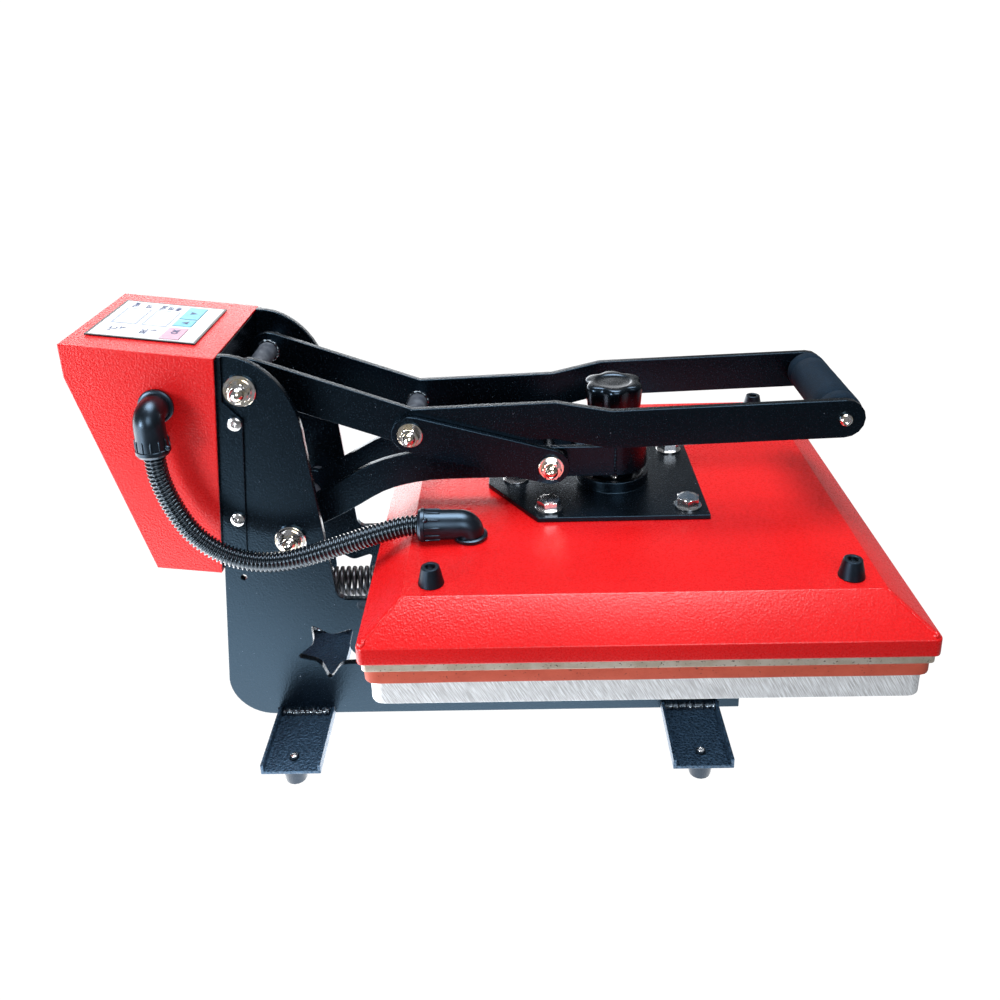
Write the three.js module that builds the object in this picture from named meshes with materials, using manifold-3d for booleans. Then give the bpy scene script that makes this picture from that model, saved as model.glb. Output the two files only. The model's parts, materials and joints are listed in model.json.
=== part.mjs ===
// Flat heat press: a clamshell press with a square heated head, a toggle linkage and a control box.
// Millimetres. X runs forward to the hand grip, Y to the operator's right, Z up from the floor.
// The sizes below are measured from the middle of the square platen.

import * as THREE from 'three';
import { mergeVertices } from 'three/addons/utils/BufferGeometryUtils.js';
import Module from 'manifold-3d';

const wasm = await Module();
wasm.setup();

// Clearances and steps
const gap = 0.3;
const cutOverrun = 2;
const roundSteps = 16;
const fineSteps = 24;
const arcSteps = 8;

// Feet and foot rails
const footHeight = 17;
const footTopRadius = 11;
const footBottomRadius = 8.5;
const footStudDepth = 9;
const railFloor = 3;
const railWidth = 48;
const railHalfLength = 130;
const railLipHeight = 6;
const railLipThickness = 2.5;
const rearRailInset = 47;
const frontRailX = 57;
const footInset = 15;
const footScrewRadius = 2;
const footScrewHeadRadius = 4;
const footScrewHeadHeight = 2.5;

// Platens, silicone pad and cover
const platenHalf = 190;
const platenThickness = 19;
const platenCorner = 10;
const padOverhang = 3.5;
const padThickness = 10.5;
const coverOverhang = 6.5;
const coverSheet = 1.5;
const coverCorner = 4;
const skirtHeight = 13;
const bevelWidth = 29.5;
const bevelHeight = 22;
const heaterReveal = 7;
const heaterThickness = 18;
const heaterSideGap = 1;

// Side plates
const plateOuterY = 62;
const plateThickness = 6;
const shelfHeight = 114;
const plateFrontX = 99;
const columnClearance = 39.5;
const columnDepth = 82;
const columnLean = 12;
const columnCorner = 36;
const rearRake = 0.095;
const rakeRise = 34;
const columnFillet = 12;
const shoulderHeight = 141;
const plateTopMargin = 28;
const lightHoleRadius = 2.5;
const lightHoleInset = 9;
const lightHoleHeight = 137;
const starTipRadius = 30;
const starRootRadius = 15.5;
const starAcross = 73.5;
const starUp = 64;
const starTurn = 119;
const starRoundShare = 0.24;

// Cross bars between the side plates
const crossBarThickness = 8;
const crossBarWidth = 25;
const crossBarRearX = -68;
const crossBarFrontX = 74;

// Linkage pivots: distances behind the column's front edge, or from one another
const armPivotInset = 31;
const armPivotDrop = 47.5;
const handlePivotInset = 56;
const handlePivotRise = 81.5;
const linkPinReach = 98;
const linkPinRise = 32.5;
const linkBoltBack = 52.5;
const linkBoltRise = 1.5;
const screwX = -5.5;

// Handle
const barWidth = 31;
const barThickness = 6;
const barRearY = 32.2;
const barFrontY = 54.5;
const barKneeRise = 3.5;
const joggleRearX = -54;
const joggleFrontX = -12;
const gripX = 165;
const gripRise = 45.5;
const gripTubeRadius = 11;
const gripWall = 2;
const foamRadius = 16.5;
const foamGrooveDepth = 1.2;
const foamGrooveWidth = 2;
const foamGrooveShare = 0.12;
const foamEndRound = 3;
const gripRodRadius = 4;
const gripRodHeadRadius = 7;
const gripRodHeadHeight = 4;
const gripPlugLength = 16;
const pivotTubeRadius = 8;

// Links and swing arm
const linkThickness = 5;
const linkHalfWidth = 15;
const linkSideGap = 0.5;
const linkPinRadius = 5;
const armOuterY = 28.5;
const armThickness = 6;
const armHalfWidth = 13;
const armHeelRadius = 20;
const tailLength = 87;
const tailBack = 25;
const tailHalfWidth = 10;
const tailPinRadius = 4;
const noseLength = 32;
const armNeckShares = [[0.14, 0.4], [0.27, 0.8], [0.4, 0.97], [0.52, 1]];

// Shafts, washers and nuts
const shaftRadius = 6;
const shaftPastWasher = 8;
const washerRadius = 12.5;
const washerThickness = 2;
const acornHexRadius = 10.5;
const acornHexHeight = 7;
const acornDomeRadius = 8.2;
const acornDomeHeight = 6;
const pinWasherRadius = 10.5;
const pinWasherThickness = 1.5;
const pinHexRadius = 9;
const pinHexHeight = 6.5;
const pinDomeRadius = 7.2;
const pinDomeHeight = 6;
const pinPastWasher = 6;

// Head mounting plate, boss, screw and knob
const mountPlateThickness = 4;
const mountPlateHalf = 68;
const mountPlateRear = 64.5;
const mountPlateFront = 70.5;
const mountPlateTip = 104;
const mountPlateTipHalf = 8;
const bossRadius = 30;
const bossRingWall = 5;
const bossRingHeight = 9;
const bossFloor = 3;
const hubRadius = 17;
const headTravel = 3;
const screwRadius = 7.5;
const screwFootClear = 1;
const knobRadius = 24.5;
const knobRootShare = 0.87;
const knobLobes = 6;
const knobHeight = 21;
const knobRise = 25;
const knobRecessRadius = 11;
const knobRecessDepth = 1.2;
const knobSkirtShare = 0.9;
const knobSkirtHeight = 4;
const knobBoltCover = 5;
const elementRadius = 4;
const elementHalf = 130;
const elementCorner = 30;
const bumperInsetX = 20;
const bumperInsetY = 16;
const bumperBaseRadius = 9.5;
const bumperTopRadius = 6.5;
const bumperHeight = 14;
const bumperWellRadius = 3.5;
const bumperWellDepth = 6;

// Counterbalance spring
const springRadius = 12;
const springWireRadius = 1.7;
const springPitch = 7.5;
const springSlack = 0.5;
const anchorX = -100;
const anchorPinRadius = 4;
const springStepsPerCurl = 8;
const springSides = 5;

// Control box
const boxDepth = 102.5;
const boxSideClearance = 2.2;
const boxSheet = 1.5;
const boxTopRise = 42;
const boxFall = 12.8;
const boxRearLip = 26;
const boxBottomDrop = 26;
const boxBottomSlope = 6;
const boxHeelShare = 0.56;
const bracketSheet = 2;
const flangeWide = 19;
const flangeNarrow = 3.6;
const flangeStepDrop = 16;
const flangeFoot = 4;
const bracketSideGap = 0.5;
const boxScrewRadius = 3;
const boxScrewDrops = [26, 108];
const boxScrewInset = 13;

// Control panel
const panelThickness = 1.6;
const panelSink = 0.8;
const panelRearInset = 10;
const panelFrontInset = 9.5;
const panelNearInset = 25;
const panelFarInset = 21.5;
const panelBorder = 1;
const windowRearShares = [0.1, 0.385];
const windowDepthShare = 0.225;
const windowLowShare = 0.36;
const windowHighShare = 0.77;
const keyRearShare = 0.655;
const keyFrontShare = 0.83;
const keySpans = { ok_key: [0.05, 0.345], up_key: [0.405, 0.58], down_key: [0.6, 0.935] };
const keyProud = 0.4;
const keyThickness = 2.4;
const keyTravel = 0.6;
const boardThickness = 1.6;
const boardDrop = 8;
const relaySize = [44, 58, 22];
const relayInset = 34;

// Power switch and inlet in the far wall of the box
const switchX = 55;
const switchDrop = 62;
const switchLength = 30;
const switchHeight = 22;
const switchFlange = 2;
const switchDepth = 20;
const rockerMargin = 4;
const rockerProud = 3;
const rockerDepth = 7;
const rockerTilt = 8;
const rockerRoot = 2.5;
const rockerTopShares = [0.8, 0.45];
const inletX = 48;
const inletDrop = 112;
const inletLength = 28;
const inletHeight = 20;
const inletFlange = 2.5;
const inletDepth = 18;
const inletWall = 3;
const inletFloor = 3;
const inletPinLength = 13;
const inletPinWidth = 4;
const inletPinThickness = 2;
const inletPinPitch = 7;

// Elbows and ribbed hose
const elbowRadius = 10.5;
const elbowFlangeRadius = 13;
const elbowFlangeThickness = 3;
const elbowBore = 6;
const elbowCollarStep = 0.6;
const elbowSocketDepth = 8;
const elbowStubRadius = 8;
const elbowStubLength = 8;
const elbowNutRadius = 13;
const elbowNutThickness = 5;
const hoseRadius = 8;
const hoseRootRadius = 6.9;
const hoseBoreRadius = 5.4;
const hoseRibs = 84;
const hoseSides = 8;
const hoseRibsPerBoreRing = 5;
const hoseDrop = 73;
const hoseInset = 66.5;
const hoseSideReach = 20;
const hoseOverCover = 11.2;
const hoseCoverInset = 42.5;
const boxElbowRise = 23;
const coverElbowReach = 32;
const hoseRouteShares = [
  [0, 1], [0, 0.89], [0.001, 0.779], [0.005, 0.626], [0.018, 0.46], [0.038, 0.285], [0.065, 0.112],
  [0.1, -0.05], [0.145, -0.185], [0.2, -0.295], [0.265, -0.375], [0.34, -0.417], [0.418, -0.415],
  [0.4975, -0.373], [0.5775, -0.306], [0.6575, -0.23], [0.737, -0.156], [0.815, -0.087], [0.88, -0.034],
  [0.925, -0.007], [0.96, 0], [1, 0],
];

// Heights that follow from the stack of parts
const railFloorTop = footHeight + railFloor;
const shelfZ = railFloorTop + shelfHeight;
const platenTop = shelfZ + platenThickness;
const padTop = platenTop + padThickness;
const heaterBottom = padTop + gap;
const heaterTop = heaterBottom + heaterThickness;
const coverBottom = heaterBottom + heaterReveal;
const coverTop = coverBottom + skirtHeight + bevelHeight;
const mountTop = coverTop + mountPlateThickness;
const hubHeight = bossRingHeight + headTravel + gap;
const hubTop = mountTop + hubHeight;
const noseBottom = hubTop + headTravel + gap;
const armLevel = noseBottom + armHalfWidth;
const noseTop = armLevel + armHalfWidth;

// Plan positions
const coverHalf = platenHalf + coverOverhang;
const coverFlatHalf = coverHalf - bevelWidth;
const padHalf = platenHalf + padOverhang;
const columnFrontX = -coverHalf - columnClearance;
const plateRearX = columnFrontX - columnDepth;
const plateInnerY = plateOuterY - plateThickness;
const rearRailX = plateRearX + rearRailInset;
const boxRearX = plateRearX - boxDepth;
const boxHalfWidth = plateOuterY + gap + bracketSheet + boxSideClearance + boxSheet;

// Linkage points in the X, Z plane
const armPivot = new THREE.Vector2(columnFrontX - armPivotInset, armLevel - armPivotDrop);
const handlePivot = new THREE.Vector2(columnFrontX - handlePivotInset, armLevel + handlePivotRise);
const linkPin = new THREE.Vector2(armPivot.x + linkPinReach, armLevel + linkPinRise);
const linkBolt = new THREE.Vector2(screwX - linkBoltBack, armLevel + linkBoltRise);
const gripPoint = new THREE.Vector2(gripX, armLevel + gripRise);
const tailTurn = THREE.MathUtils.degToRad(tailBack);
const tailPoint = new THREE.Vector2(
  armPivot.x - tailLength * Math.sin(tailTurn),
  armPivot.y - tailLength * Math.cos(tailTurn),
);
const anchorPoint = new THREE.Vector2(anchorX, tailPoint.y);
const plateTopZ = handlePivot.y + plateTopMargin;
// The side plates' rear edges lean forward, and the box and its bracket follow them
function rearAt(z) {
  return plateRearX + rearRake * (z - armPivot.y - rakeRise);
}
const linkInnerY = barRearY + barThickness / 2 + linkSideGap;
const linkOuterY = linkInnerY + linkThickness;
const hoseY = -boxHalfWidth - hoseSideReach;
const hoseStart = new THREE.Vector3(
  boxRearX + hoseInset, hoseY, handlePivot.y + boxTopRise - hoseDrop);
const hoseEnd = new THREE.Vector3(-coverHalf + hoseCoverInset, hoseY, coverTop + hoseOverCover);
const boxElbowPoint = new THREE.Vector2(hoseStart.x, hoseStart.z + boxElbowRise);
const elbowSeat = new THREE.Vector3(hoseEnd.x + coverElbowReach, hoseY, hoseEnd.z);

// Materials
const paint = (color, roughness, metalness = 0.1) =>
  new THREE.MeshStandardMaterial({ color, roughness, metalness });
const redPaint = () => paint(0xd8161b, 0.42);
const blackPaint = () => paint(0x15181c, 0.5);
const blackPlastic = () => paint(0x101113, 0.35, 0);
const chrome = () => paint(0xd9dcdf, 0.15, 1);
const zinc = () => paint(0xb9bdc2, 0.35, 1);
const greyTube = () => paint(0x8d949c, 0.45, 0.8);
const milledAluminium = () => paint(0xc4c6c8, 0.4, 0.9);
const siliconeRed = () => paint(0xa8402c, 0.7, 0);
const rubber = () => paint(0x17181a, 0.75, 0);
const foam = () => paint(0x1b1d20, 0.95, 0);

// Turns a closed three.js geometry into a solid, whichever way its faces point
function solid(geometry) {
  const loose = geometry.index ? geometry.toNonIndexed() : geometry;
  const bare = new THREE.BufferGeometry();
  bare.setAttribute('position', loose.getAttribute('position').clone());
  const merged = mergeVertices(bare, 1e-4);
  const places = merged.getAttribute('position').array;
  const corners = merged.index.array;
  const kept = [];
  let volume = 0;
  for (let i = 0; i < corners.length; i += 3) {
    const [a, b, c] = corners.slice(i, i + 3);
    if (a === b || b === c || c === a) continue;
    kept.push(a, b, c);
    const [pa, pb, pc] = [a, b, c].map((v) => new THREE.Vector3().fromArray(places, v * 3));
    volume += pa.dot(pb.cross(pc));
  }
  if (volume < 0) kept.reverse();
  const mesh = new wasm.Mesh({
    numProp: 3,
    vertProperties: new Float32Array(places),
    triVerts: new Uint32Array(kept),
  });
  return new wasm.Manifold(mesh);
}

// Turns a solid back into a geometry
function geometryOf(body) {
  const mesh = body.getMesh();
  const geometry = new THREE.BufferGeometry();
  geometry.setAttribute('position', new THREE.BufferAttribute(new Float32Array(mesh.vertProperties), 3));
  geometry.setIndex(new THREE.BufferAttribute(new Uint32Array(mesh.triVerts), 1));
  geometry.computeVertexNormals();
  return geometry;
}

const join = (bodies) => bodies.reduce((whole, next) => whole.add(next));
const cut = (body, tools) => tools.reduce((rest, tool) => rest.subtract(tool), body);

function block(x0, x1, y0, y1, z0, z1) {
  const box = new THREE.BoxGeometry(x1 - x0, y1 - y0, z1 - z0);
  box.translate((x0 + x1) / 2, (y0 + y1) / 2, (z0 + z1) / 2);
  return solid(box);
}

// A round bar or cone along Z
function post(x, y, z0, z1, radius, steps = roundSteps, topRadius = radius) {
  const bar = new THREE.CylinderGeometry(topRadius, radius, z1 - z0, steps);
  bar.rotateX(Math.PI / 2);
  bar.translate(x, y, (z0 + z1) / 2);
  return solid(bar);
}

// A round bar or cone along Y, at a point of the X, Z plane
function shaft(point, y0, y1, radius, steps = roundSteps, farRadius = radius) {
  const bar = new THREE.CylinderGeometry(farRadius, radius, y1 - y0, steps);
  bar.translate(point.x, (y0 + y1) / 2, point.y);
  return solid(bar);
}

// A round bar along X
function rodX(x0, x1, y, z, radius, steps = roundSteps) {
  const bar = new THREE.CylinderGeometry(radius, radius, x1 - x0, steps);
  bar.rotateZ(Math.PI / 2);
  bar.translate((x0 + x1) / 2, y, z);
  return solid(bar);
}

// An outline in the X, Z plane, given thickness along Y
function sideCut(shape, y0, y1, curveSegments = arcSteps) {
  const plate = new THREE.ExtrudeGeometry(shape, { depth: y1 - y0, bevelEnabled: false, curveSegments });
  plate.rotateX(Math.PI / 2);
  plate.translate(0, y1, 0);
  return solid(plate);
}

// An outline in the X, Y plane, given height along Z
function planCut(shape, z0, z1, curveSegments = arcSteps) {
  const slab = new THREE.ExtrudeGeometry(shape, { depth: z1 - z0, bevelEnabled: false, curveSegments });
  slab.translate(0, 0, z0);
  return solid(slab);
}

function outline(points) {
  return new THREE.Shape(points.map(([x, y]) => new THREE.Vector2(x, y)));
}

function roundedSquare(half, corner) {
  const inner = half - corner;
  const shape = new THREE.Shape();
  shape.absarc(inner, inner, corner, 0, Math.PI / 2, false);
  shape.absarc(-inner, inner, corner, Math.PI / 2, Math.PI, false);
  shape.absarc(-inner, -inner, corner, Math.PI, 1.5 * Math.PI, false);
  shape.absarc(inner, -inner, corner, 1.5 * Math.PI, 2 * Math.PI, false);
  return shape;
}

// A strip of constant width along a line of points, with round or square ends
function strap(points, halfWidth, roundStart = true, roundEnd = true) {
  const left = [];
  const right = [];
  points.forEach((point, i) => {
    const before = points[Math.max(i - 1, 0)];
    const after = points[Math.min(i + 1, points.length - 1)];
    const into = point.clone().sub(before);
    const out = after.clone().sub(point);
    const first = (into.length() ? into : out).clone().normalize();
    const second = (out.length() ? out : into).clone().normalize();
    const middle = first.clone().add(second).normalize();
    const reach = halfWidth / middle.dot(first);
    const side = new THREE.Vector2(-middle.y, middle.x).multiplyScalar(reach);
    left.push(point.clone().add(side));
    right.push(point.clone().sub(side));
  });
  const arc = (centre, from) => {
    const start = Math.atan2(from.y - centre.y, from.x - centre.x);
    return Array.from({ length: roundSteps / 2 - 1 }, (_, i) => {
      const angle = start + (Math.PI * (i + 1)) / (roundSteps / 2);
      return new THREE.Vector2(Math.cos(angle), Math.sin(angle)).multiplyScalar(halfWidth).add(centre);
    });
  };
  const last = points.length - 1;
  return new THREE.Shape([
    ...right,
    ...(roundEnd ? arc(points[last], right[last]) : []),
    ...left.slice().reverse(),
    ...(roundStart ? arc(points[0], left[0]) : []),
  ]);
}

// Rings of points round a path, each with its own radius
function ringsAlong(path, radii, sides) {
  const rings = [];
  let side = null;
  path.forEach((point, i) => {
    const before = path[Math.max(i - 1, 0)];
    const after = path[Math.min(i + 1, path.length - 1)];
    const along = after.clone().sub(before).normalize();
    if (!side) side = new THREE.Vector3(0, 1, 1).cross(along).normalize();
    side = side.clone().sub(along.clone().multiplyScalar(side.dot(along))).normalize();
    const other = along.clone().cross(side);
    const ring = Array.from({ length: sides }, (_, k) => {
      const angle = (2 * Math.PI * k) / sides;
      return point.clone()
        .addScaledVector(side, radii[i] * Math.cos(angle))
        .addScaledVector(other, radii[i] * Math.sin(angle));
    });
    rings.push(ring);
  });
  return rings;
}

// Skins neighbouring rings and closes the two ends with their middle points or with an inner wall
function skin(rings, innerRings, endPoints) {
  const triangles = [];
  const strip = (lower, upper) => {
    lower.forEach((_, k) => {
      const next = (k + 1) % lower.length;
      triangles.push(lower[k], lower[next], upper[next], lower[k], upper[next], upper[k]);
    });
  };
  for (let i = 0; i + 1 < rings.length; i += 1) strip(rings[i], rings[i + 1]);
  if (innerRings) {
    for (let i = innerRings.length - 1; i > 0; i -= 1) strip(innerRings[i], innerRings[i - 1]);
    strip(innerRings[0], rings[0]);
    strip(rings.at(-1), innerRings.at(-1));
  } else {
    const cap = (ring, middle, forward) => ring.forEach((point, k) => {
      const next = ring[(k + 1) % ring.length];
      triangles.push(middle, ...(forward ? [point, next] : [next, point]));
    });
    cap(rings[0], endPoints[0], false);
    cap(rings.at(-1), endPoints[1], true);
  }
  const geometry = new THREE.BufferGeometry().setFromPoints(triangles);
  return solid(geometry);
}

function roundTube(path, radius, sides) {
  return skin(ringsAlong(path, path.map(() => radius), sides), null, [path[0], path.at(-1)]);
}

// A domed nut with its washer against a face, on the side given by its sign, bored or solid
function acornNut(point, faceY, sign, sizes, bored) {
  const { washer, washerHeight, hex, hexHeight, dome, domeHeight, bore, boreDepth } = sizes;
  const profile = [new THREE.Vector2(0, 0), new THREE.Vector2(dome, 0)];
  const domeSteps = 2;
  for (let i = 1; i <= domeSteps; i += 1) {
    const angle = (Math.PI / 2) * (i / domeSteps);
    const radius = i === domeSteps ? 0 : dome * Math.cos(angle);
    profile.push(new THREE.Vector2(radius, domeHeight * Math.sin(angle)));
  }
  const hexTop = washerHeight + hexHeight;
  const cap = new THREE.LatheGeometry(profile, roundSteps);
  cap.translate(0, hexTop - gap / 2, 0);
  const prism = new THREE.CylinderGeometry(hex, hex, hexTop, 6);
  prism.translate(0, hexTop / 2, 0);
  const disc = new THREE.CylinderGeometry(washer, washer, washerHeight, roundSteps);
  disc.translate(0, washerHeight / 2, 0);
  const hole = new THREE.CylinderGeometry(bore + gap, bore + gap, 2 * (washerHeight + boreDepth), roundSteps);
  const whole = join([disc, prism, cap].map(solid));
  const nut = bored ? whole.subtract(solid(hole)) : whole;
  const turned = sign > 0 ? nut : nut.mirror([0, 1, 0]);
  return turned.translate([point.x, faceY + sign * gap, point.y]);
}

const frameNut = {
  washer: washerRadius,
  washerHeight: washerThickness,
  hex: acornHexRadius,
  hexHeight: acornHexHeight,
  dome: acornDomeRadius,
  domeHeight: acornDomeHeight,
  bore: shaftRadius,
  boreDepth: shaftPastWasher,
};
const pinNut = {
  washer: pinWasherRadius,
  washerHeight: pinWasherThickness,
  hex: pinHexRadius,
  hexHeight: pinHexHeight,
  dome: pinDomeRadius,
  domeHeight: pinDomeHeight,
  bore: linkPinRadius,
  boreDepth: pinPastWasher,
};

// The scene graph
const press = new THREE.Group();
press.name = 'heat_press';
press.position.x = -(boxRearX + coverHalf) / 2;

function add(name, body, material, parent = press) {
  const mesh = new THREE.Mesh(geometryOf(body), material);
  mesh.name = name;
  parent.add(mesh);
  return mesh;
}

const sides = [['left', -1], ['right', 1]];

// A pair of heights on one side, in rising order
const span = (sign, near, far) => (sign > 0 ? [near, far] : [-far, -near]);

// Foot rails: channels with low lips, open at the top, lying across under the side plates
function footRail() {
  const half = railWidth / 2;
  const floor = block(-half, half, -railHalfLength, railHalfLength, footHeight, railFloorTop);
  const lips = [-1, 1].map((side) => {
    const [x0, x1] = span(side, half - railLipThickness, half);
    return block(x0, x1, -railHalfLength, railHalfLength, footHeight, railFloorTop + railLipHeight);
  });
  const holes = [-1, 1].map((side) =>
    post(0, side * (railHalfLength - footInset), footHeight - cutOverrun, railFloorTop + cutOverrun,
      footScrewRadius + gap));
  return cut(join([floor, ...lips]), holes);
}
const rearRail = add('rear_foot_rail', footRail(), blackPaint());
rearRail.position.x = rearRailX;
const frontRail = add('front_foot_rail', footRail(), blackPaint());
frontRail.position.x = frontRailX;

// Rubber feet, each moulded round the stud that holds it to its rail
for (const [end, x] of [['rear', rearRailX], ['front', frontRailX]]) {
  for (const [side, sign] of sides) {
    const y = sign * (railHalfLength - footInset);
    add(`${end}_${side}_foot`, join([
      post(x, y, 0, footHeight, footBottomRadius, roundSteps, footTopRadius),
      post(x, y, footHeight - footStudDepth, railFloorTop + footScrewHeadHeight / 2, footScrewRadius),
      post(x, y, railFloorTop, railFloorTop + footScrewHeadHeight, footScrewHeadRadius),
    ]), rubber());
  }
}

// Side plates: a long shelf that carries the lower platen and a column that carries the linkage
function starPath() {
  const centre = new THREE.Vector2(plateRearX + starAcross, railFloorTop + starUp);
  const corners = Array.from({ length: 10 }, (_, i) => {
    const angle = THREE.MathUtils.degToRad(starTurn + 36 * i);
    const reach = i % 2 ? starRootRadius : starTipRadius;
    return new THREE.Vector2(Math.cos(angle), Math.sin(angle)).multiplyScalar(reach).add(centre);
  });
  const path = new THREE.Path();
  corners.forEach((corner, i) => {
    const before = corners[(i + 9) % 10];
    const after = corners[(i + 1) % 10];
    const from = corner.clone().lerp(before, starRoundShare);
    const to = corner.clone().lerp(after, starRoundShare);
    if (i) path.lineTo(from.x, from.y);
    else path.moveTo(from.x, from.y);
    path.quadraticCurveTo(corner.x, corner.y, to.x, to.y);
  });
  path.closePath();
  return path;
}

function roundHole(point, radius) {
  return new THREE.Path().absarc(point.x, point.y, radius, 0, 2 * Math.PI, true);
}

function sidePlate(y0, y1) {
  const shoulderZ = shelfZ + shoulderHeight;
  const shoulderX = columnFrontX - columnLean;
  const archX = rearAt(plateTopZ) + gap;
  const cornerX = rearAt(railFloorTop + columnCorner) + columnCorner;
  const shape = new THREE.Shape();
  shape.moveTo(cornerX, railFloorTop);
  shape.lineTo(plateFrontX, railFloorTop);
  shape.lineTo(plateFrontX, shelfZ);
  shape.lineTo(columnFrontX + columnFillet, shelfZ);
  shape.quadraticCurveTo(columnFrontX, shelfZ, columnFrontX, shelfZ + columnFillet);
  shape.lineTo(shoulderX, shoulderZ);
  shape.absellipse(archX, shoulderZ, shoulderX - archX, plateTopZ - shoulderZ, 0, Math.PI / 2, false);
  shape.lineTo(rearAt(plateTopZ), plateTopZ);
  shape.lineTo(cornerX - columnCorner, railFloorTop + columnCorner);
  shape.absarc(cornerX, railFloorTop + columnCorner, columnCorner, Math.PI, 1.5 * Math.PI, false);
  const lightHole = new THREE.Vector2(plateRearX + lightHoleInset, railFloorTop + lightHoleHeight);
  shape.holes.push(
    roundHole(armPivot, shaftRadius + gap),
    roundHole(handlePivot, shaftRadius + gap),
    roundHole(lightHole, lightHoleRadius),
    starPath(),
  );
  const notchTop = railFloorTop + railLipHeight + gap;
  const notches = [rearRailX, frontRailX].flatMap((x) => [-1, 1].map((side) => {
    const [x0, x1] = span(side, railWidth / 2 - railLipThickness - gap, railWidth / 2 + gap);
    return block(x + x0, x + x1, y0 - cutOverrun, y1 + cutOverrun, railFloorTop - cutOverrun, notchTop);
  }));
  return cut(sideCut(shape, y0, y1, 6), notches);
}
for (const [name, sign] of sides) {
  add(`${name}_side_plate`, sidePlate(...span(sign, plateInnerY, plateOuterY)), blackPaint());
}

// Two flat bars join the side plates under the lower platen
const tieSpan = plateInnerY - gap;
const crossBarTop = shelfZ - gap;
for (const [end, x] of [['rear', crossBarRearX], ['front', crossBarFrontX]]) {
  add(`${end}_cross_bar`, block(
    x - crossBarWidth / 2, x + crossBarWidth / 2, -tieSpan, tieSpan,
    crossBarTop - crossBarThickness, crossBarTop,
  ), blackPaint());
}

// Lower platen and silicone pad
const padCorner = platenCorner + padOverhang;
add('lower_platen', planCut(roundedSquare(platenHalf, platenCorner), shelfZ, platenTop, 3),
  milledAluminium());
add('silicone_pad', planCut(roundedSquare(padHalf, padCorner), platenTop, padTop, 3), siliconeRed());

// A bolt with a domed head and washer on the left, and the domed nut that goes on its right end
function pivotPair(point, faceY, sizes) {
  const { washerHeight, bore, boreDepth } = sizes;
  const end = faceY + washerHeight + boreDepth;
  return [
    acornNut(point, -faceY, -1, sizes, false).add(shaft(point, -end, end - 2 * gap, bore)),
    acornNut(point, faceY, 1, sizes, true),
  ];
}

// A tube on a pivot bolt
function sleeve(point, y0, y1) {
  return cut(shaft(point, y0, y1, pivotTubeRadius), [
    shaft(point, y0 - cutOverrun, y1 + cutOverrun, shaftRadius + gap)]);
}
for (const [name, point] of [['handle_pivot', handlePivot], ['arm_pivot', armPivot]]) {
  const [bolt, nut] = pivotPair(point, plateOuterY, frameNut);
  add(`${name}_bolt`, bolt, chrome());
  add(`${name}_nut`, nut, chrome());
}

// Control box: folded sheet, open towards the side plates
const boxTopRearZ = handlePivot.y + boxTopRise;
const boxTopFrontX = rearAt(boxTopRearZ - boxFall) - gap;
const boxBottomZ = armPivot.y - boxBottomDrop;
const boxHeelX = boxRearX + boxDepth * (1 - boxHeelShare);
const topTilt = Math.atan2(boxFall, boxDepth);
const boxTopFrontZ = boxTopRearZ - (boxTopFrontX - boxRearX) * Math.tan(topTilt);

function boxShape(inset, ahead) {
  const slope = Math.tan(topTilt);
  const lipX = boxRearX + inset;
  const lipZ = boxTopRearZ - boxRearLip + inset;
  return outline([
    [lipX, boxTopRearZ - inset * (1 + slope)],
    [lipX, lipZ],
    [boxHeelX + inset, boxBottomZ + boxBottomSlope + inset],
    [rearAt(boxBottomZ) - gap + ahead, boxBottomZ + inset],
    [boxTopFrontX + ahead, boxTopFrontZ - ahead * slope - inset],
  ]);
}
const panelLength = Math.hypot(boxDepth, boxFall) - panelRearInset - panelFrontInset;
const panelWidth = 2 * boxHalfWidth - panelNearInset - panelFarInset;
const panelFrame = new THREE.Group();
const panelMiddle = panelRearInset + panelLength / 2;
panelFrame.position.set(
  boxRearX + panelMiddle * Math.cos(topTilt),
  (panelNearInset - panelFarInset) / 2,
  boxTopRearZ - panelMiddle * Math.sin(topTilt),
);
panelFrame.rotation.y = topTilt;
panelFrame.updateMatrix();

// A block given in the panel's own frame, moved to where the box needs it as a cutter
function panelCutter(x0, x1, y0, y1, z0, z1) {
  const geometry = geometryOf(block(x0, x1, y0, y1, z0, z1));
  geometry.applyMatrix4(panelFrame.matrix);
  return solid(geometry);
}
const panelHalfX = panelLength / 2;
const panelHalfY = panelWidth / 2;
const switchPoint = new THREE.Vector2(plateRearX - switchX, boxTopRearZ - switchDrop);
const inletPoint = new THREE.Vector2(plateRearX - inletX, boxTopRearZ - inletDrop);
const wallCut = [boxHalfWidth - boxSheet - cutOverrun, boxHalfWidth + cutOverrun];

function wallWindow(point, length, height) {
  return block(point.x - length / 2, point.x + length / 2, ...wallCut,
    point.y - height / 2, point.y + height / 2);
}
const controlBox = cut(sideCut(boxShape(0, 0), -boxHalfWidth, boxHalfWidth), [
  sideCut(boxShape(boxSheet, cutOverrun), -boxHalfWidth + boxSheet, boxHalfWidth - boxSheet),
  panelCutter(-panelHalfX + panelBorder, panelHalfX - panelBorder,
    -panelHalfY + panelBorder, panelHalfY - panelBorder, -boxSheet - cutOverrun, cutOverrun),
  shaft(boxElbowPoint, -wallCut[1], -wallCut[0], elbowStubRadius + gap),
  wallWindow(switchPoint, switchLength - 2 * switchFlange + gap, switchHeight - 2 * switchFlange + gap),
  wallWindow(inletPoint, inletLength - 2 * inletFlange + gap, inletHeight - 2 * inletFlange + gap),
]);
add('control_box', controlBox, redPaint());

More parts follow.
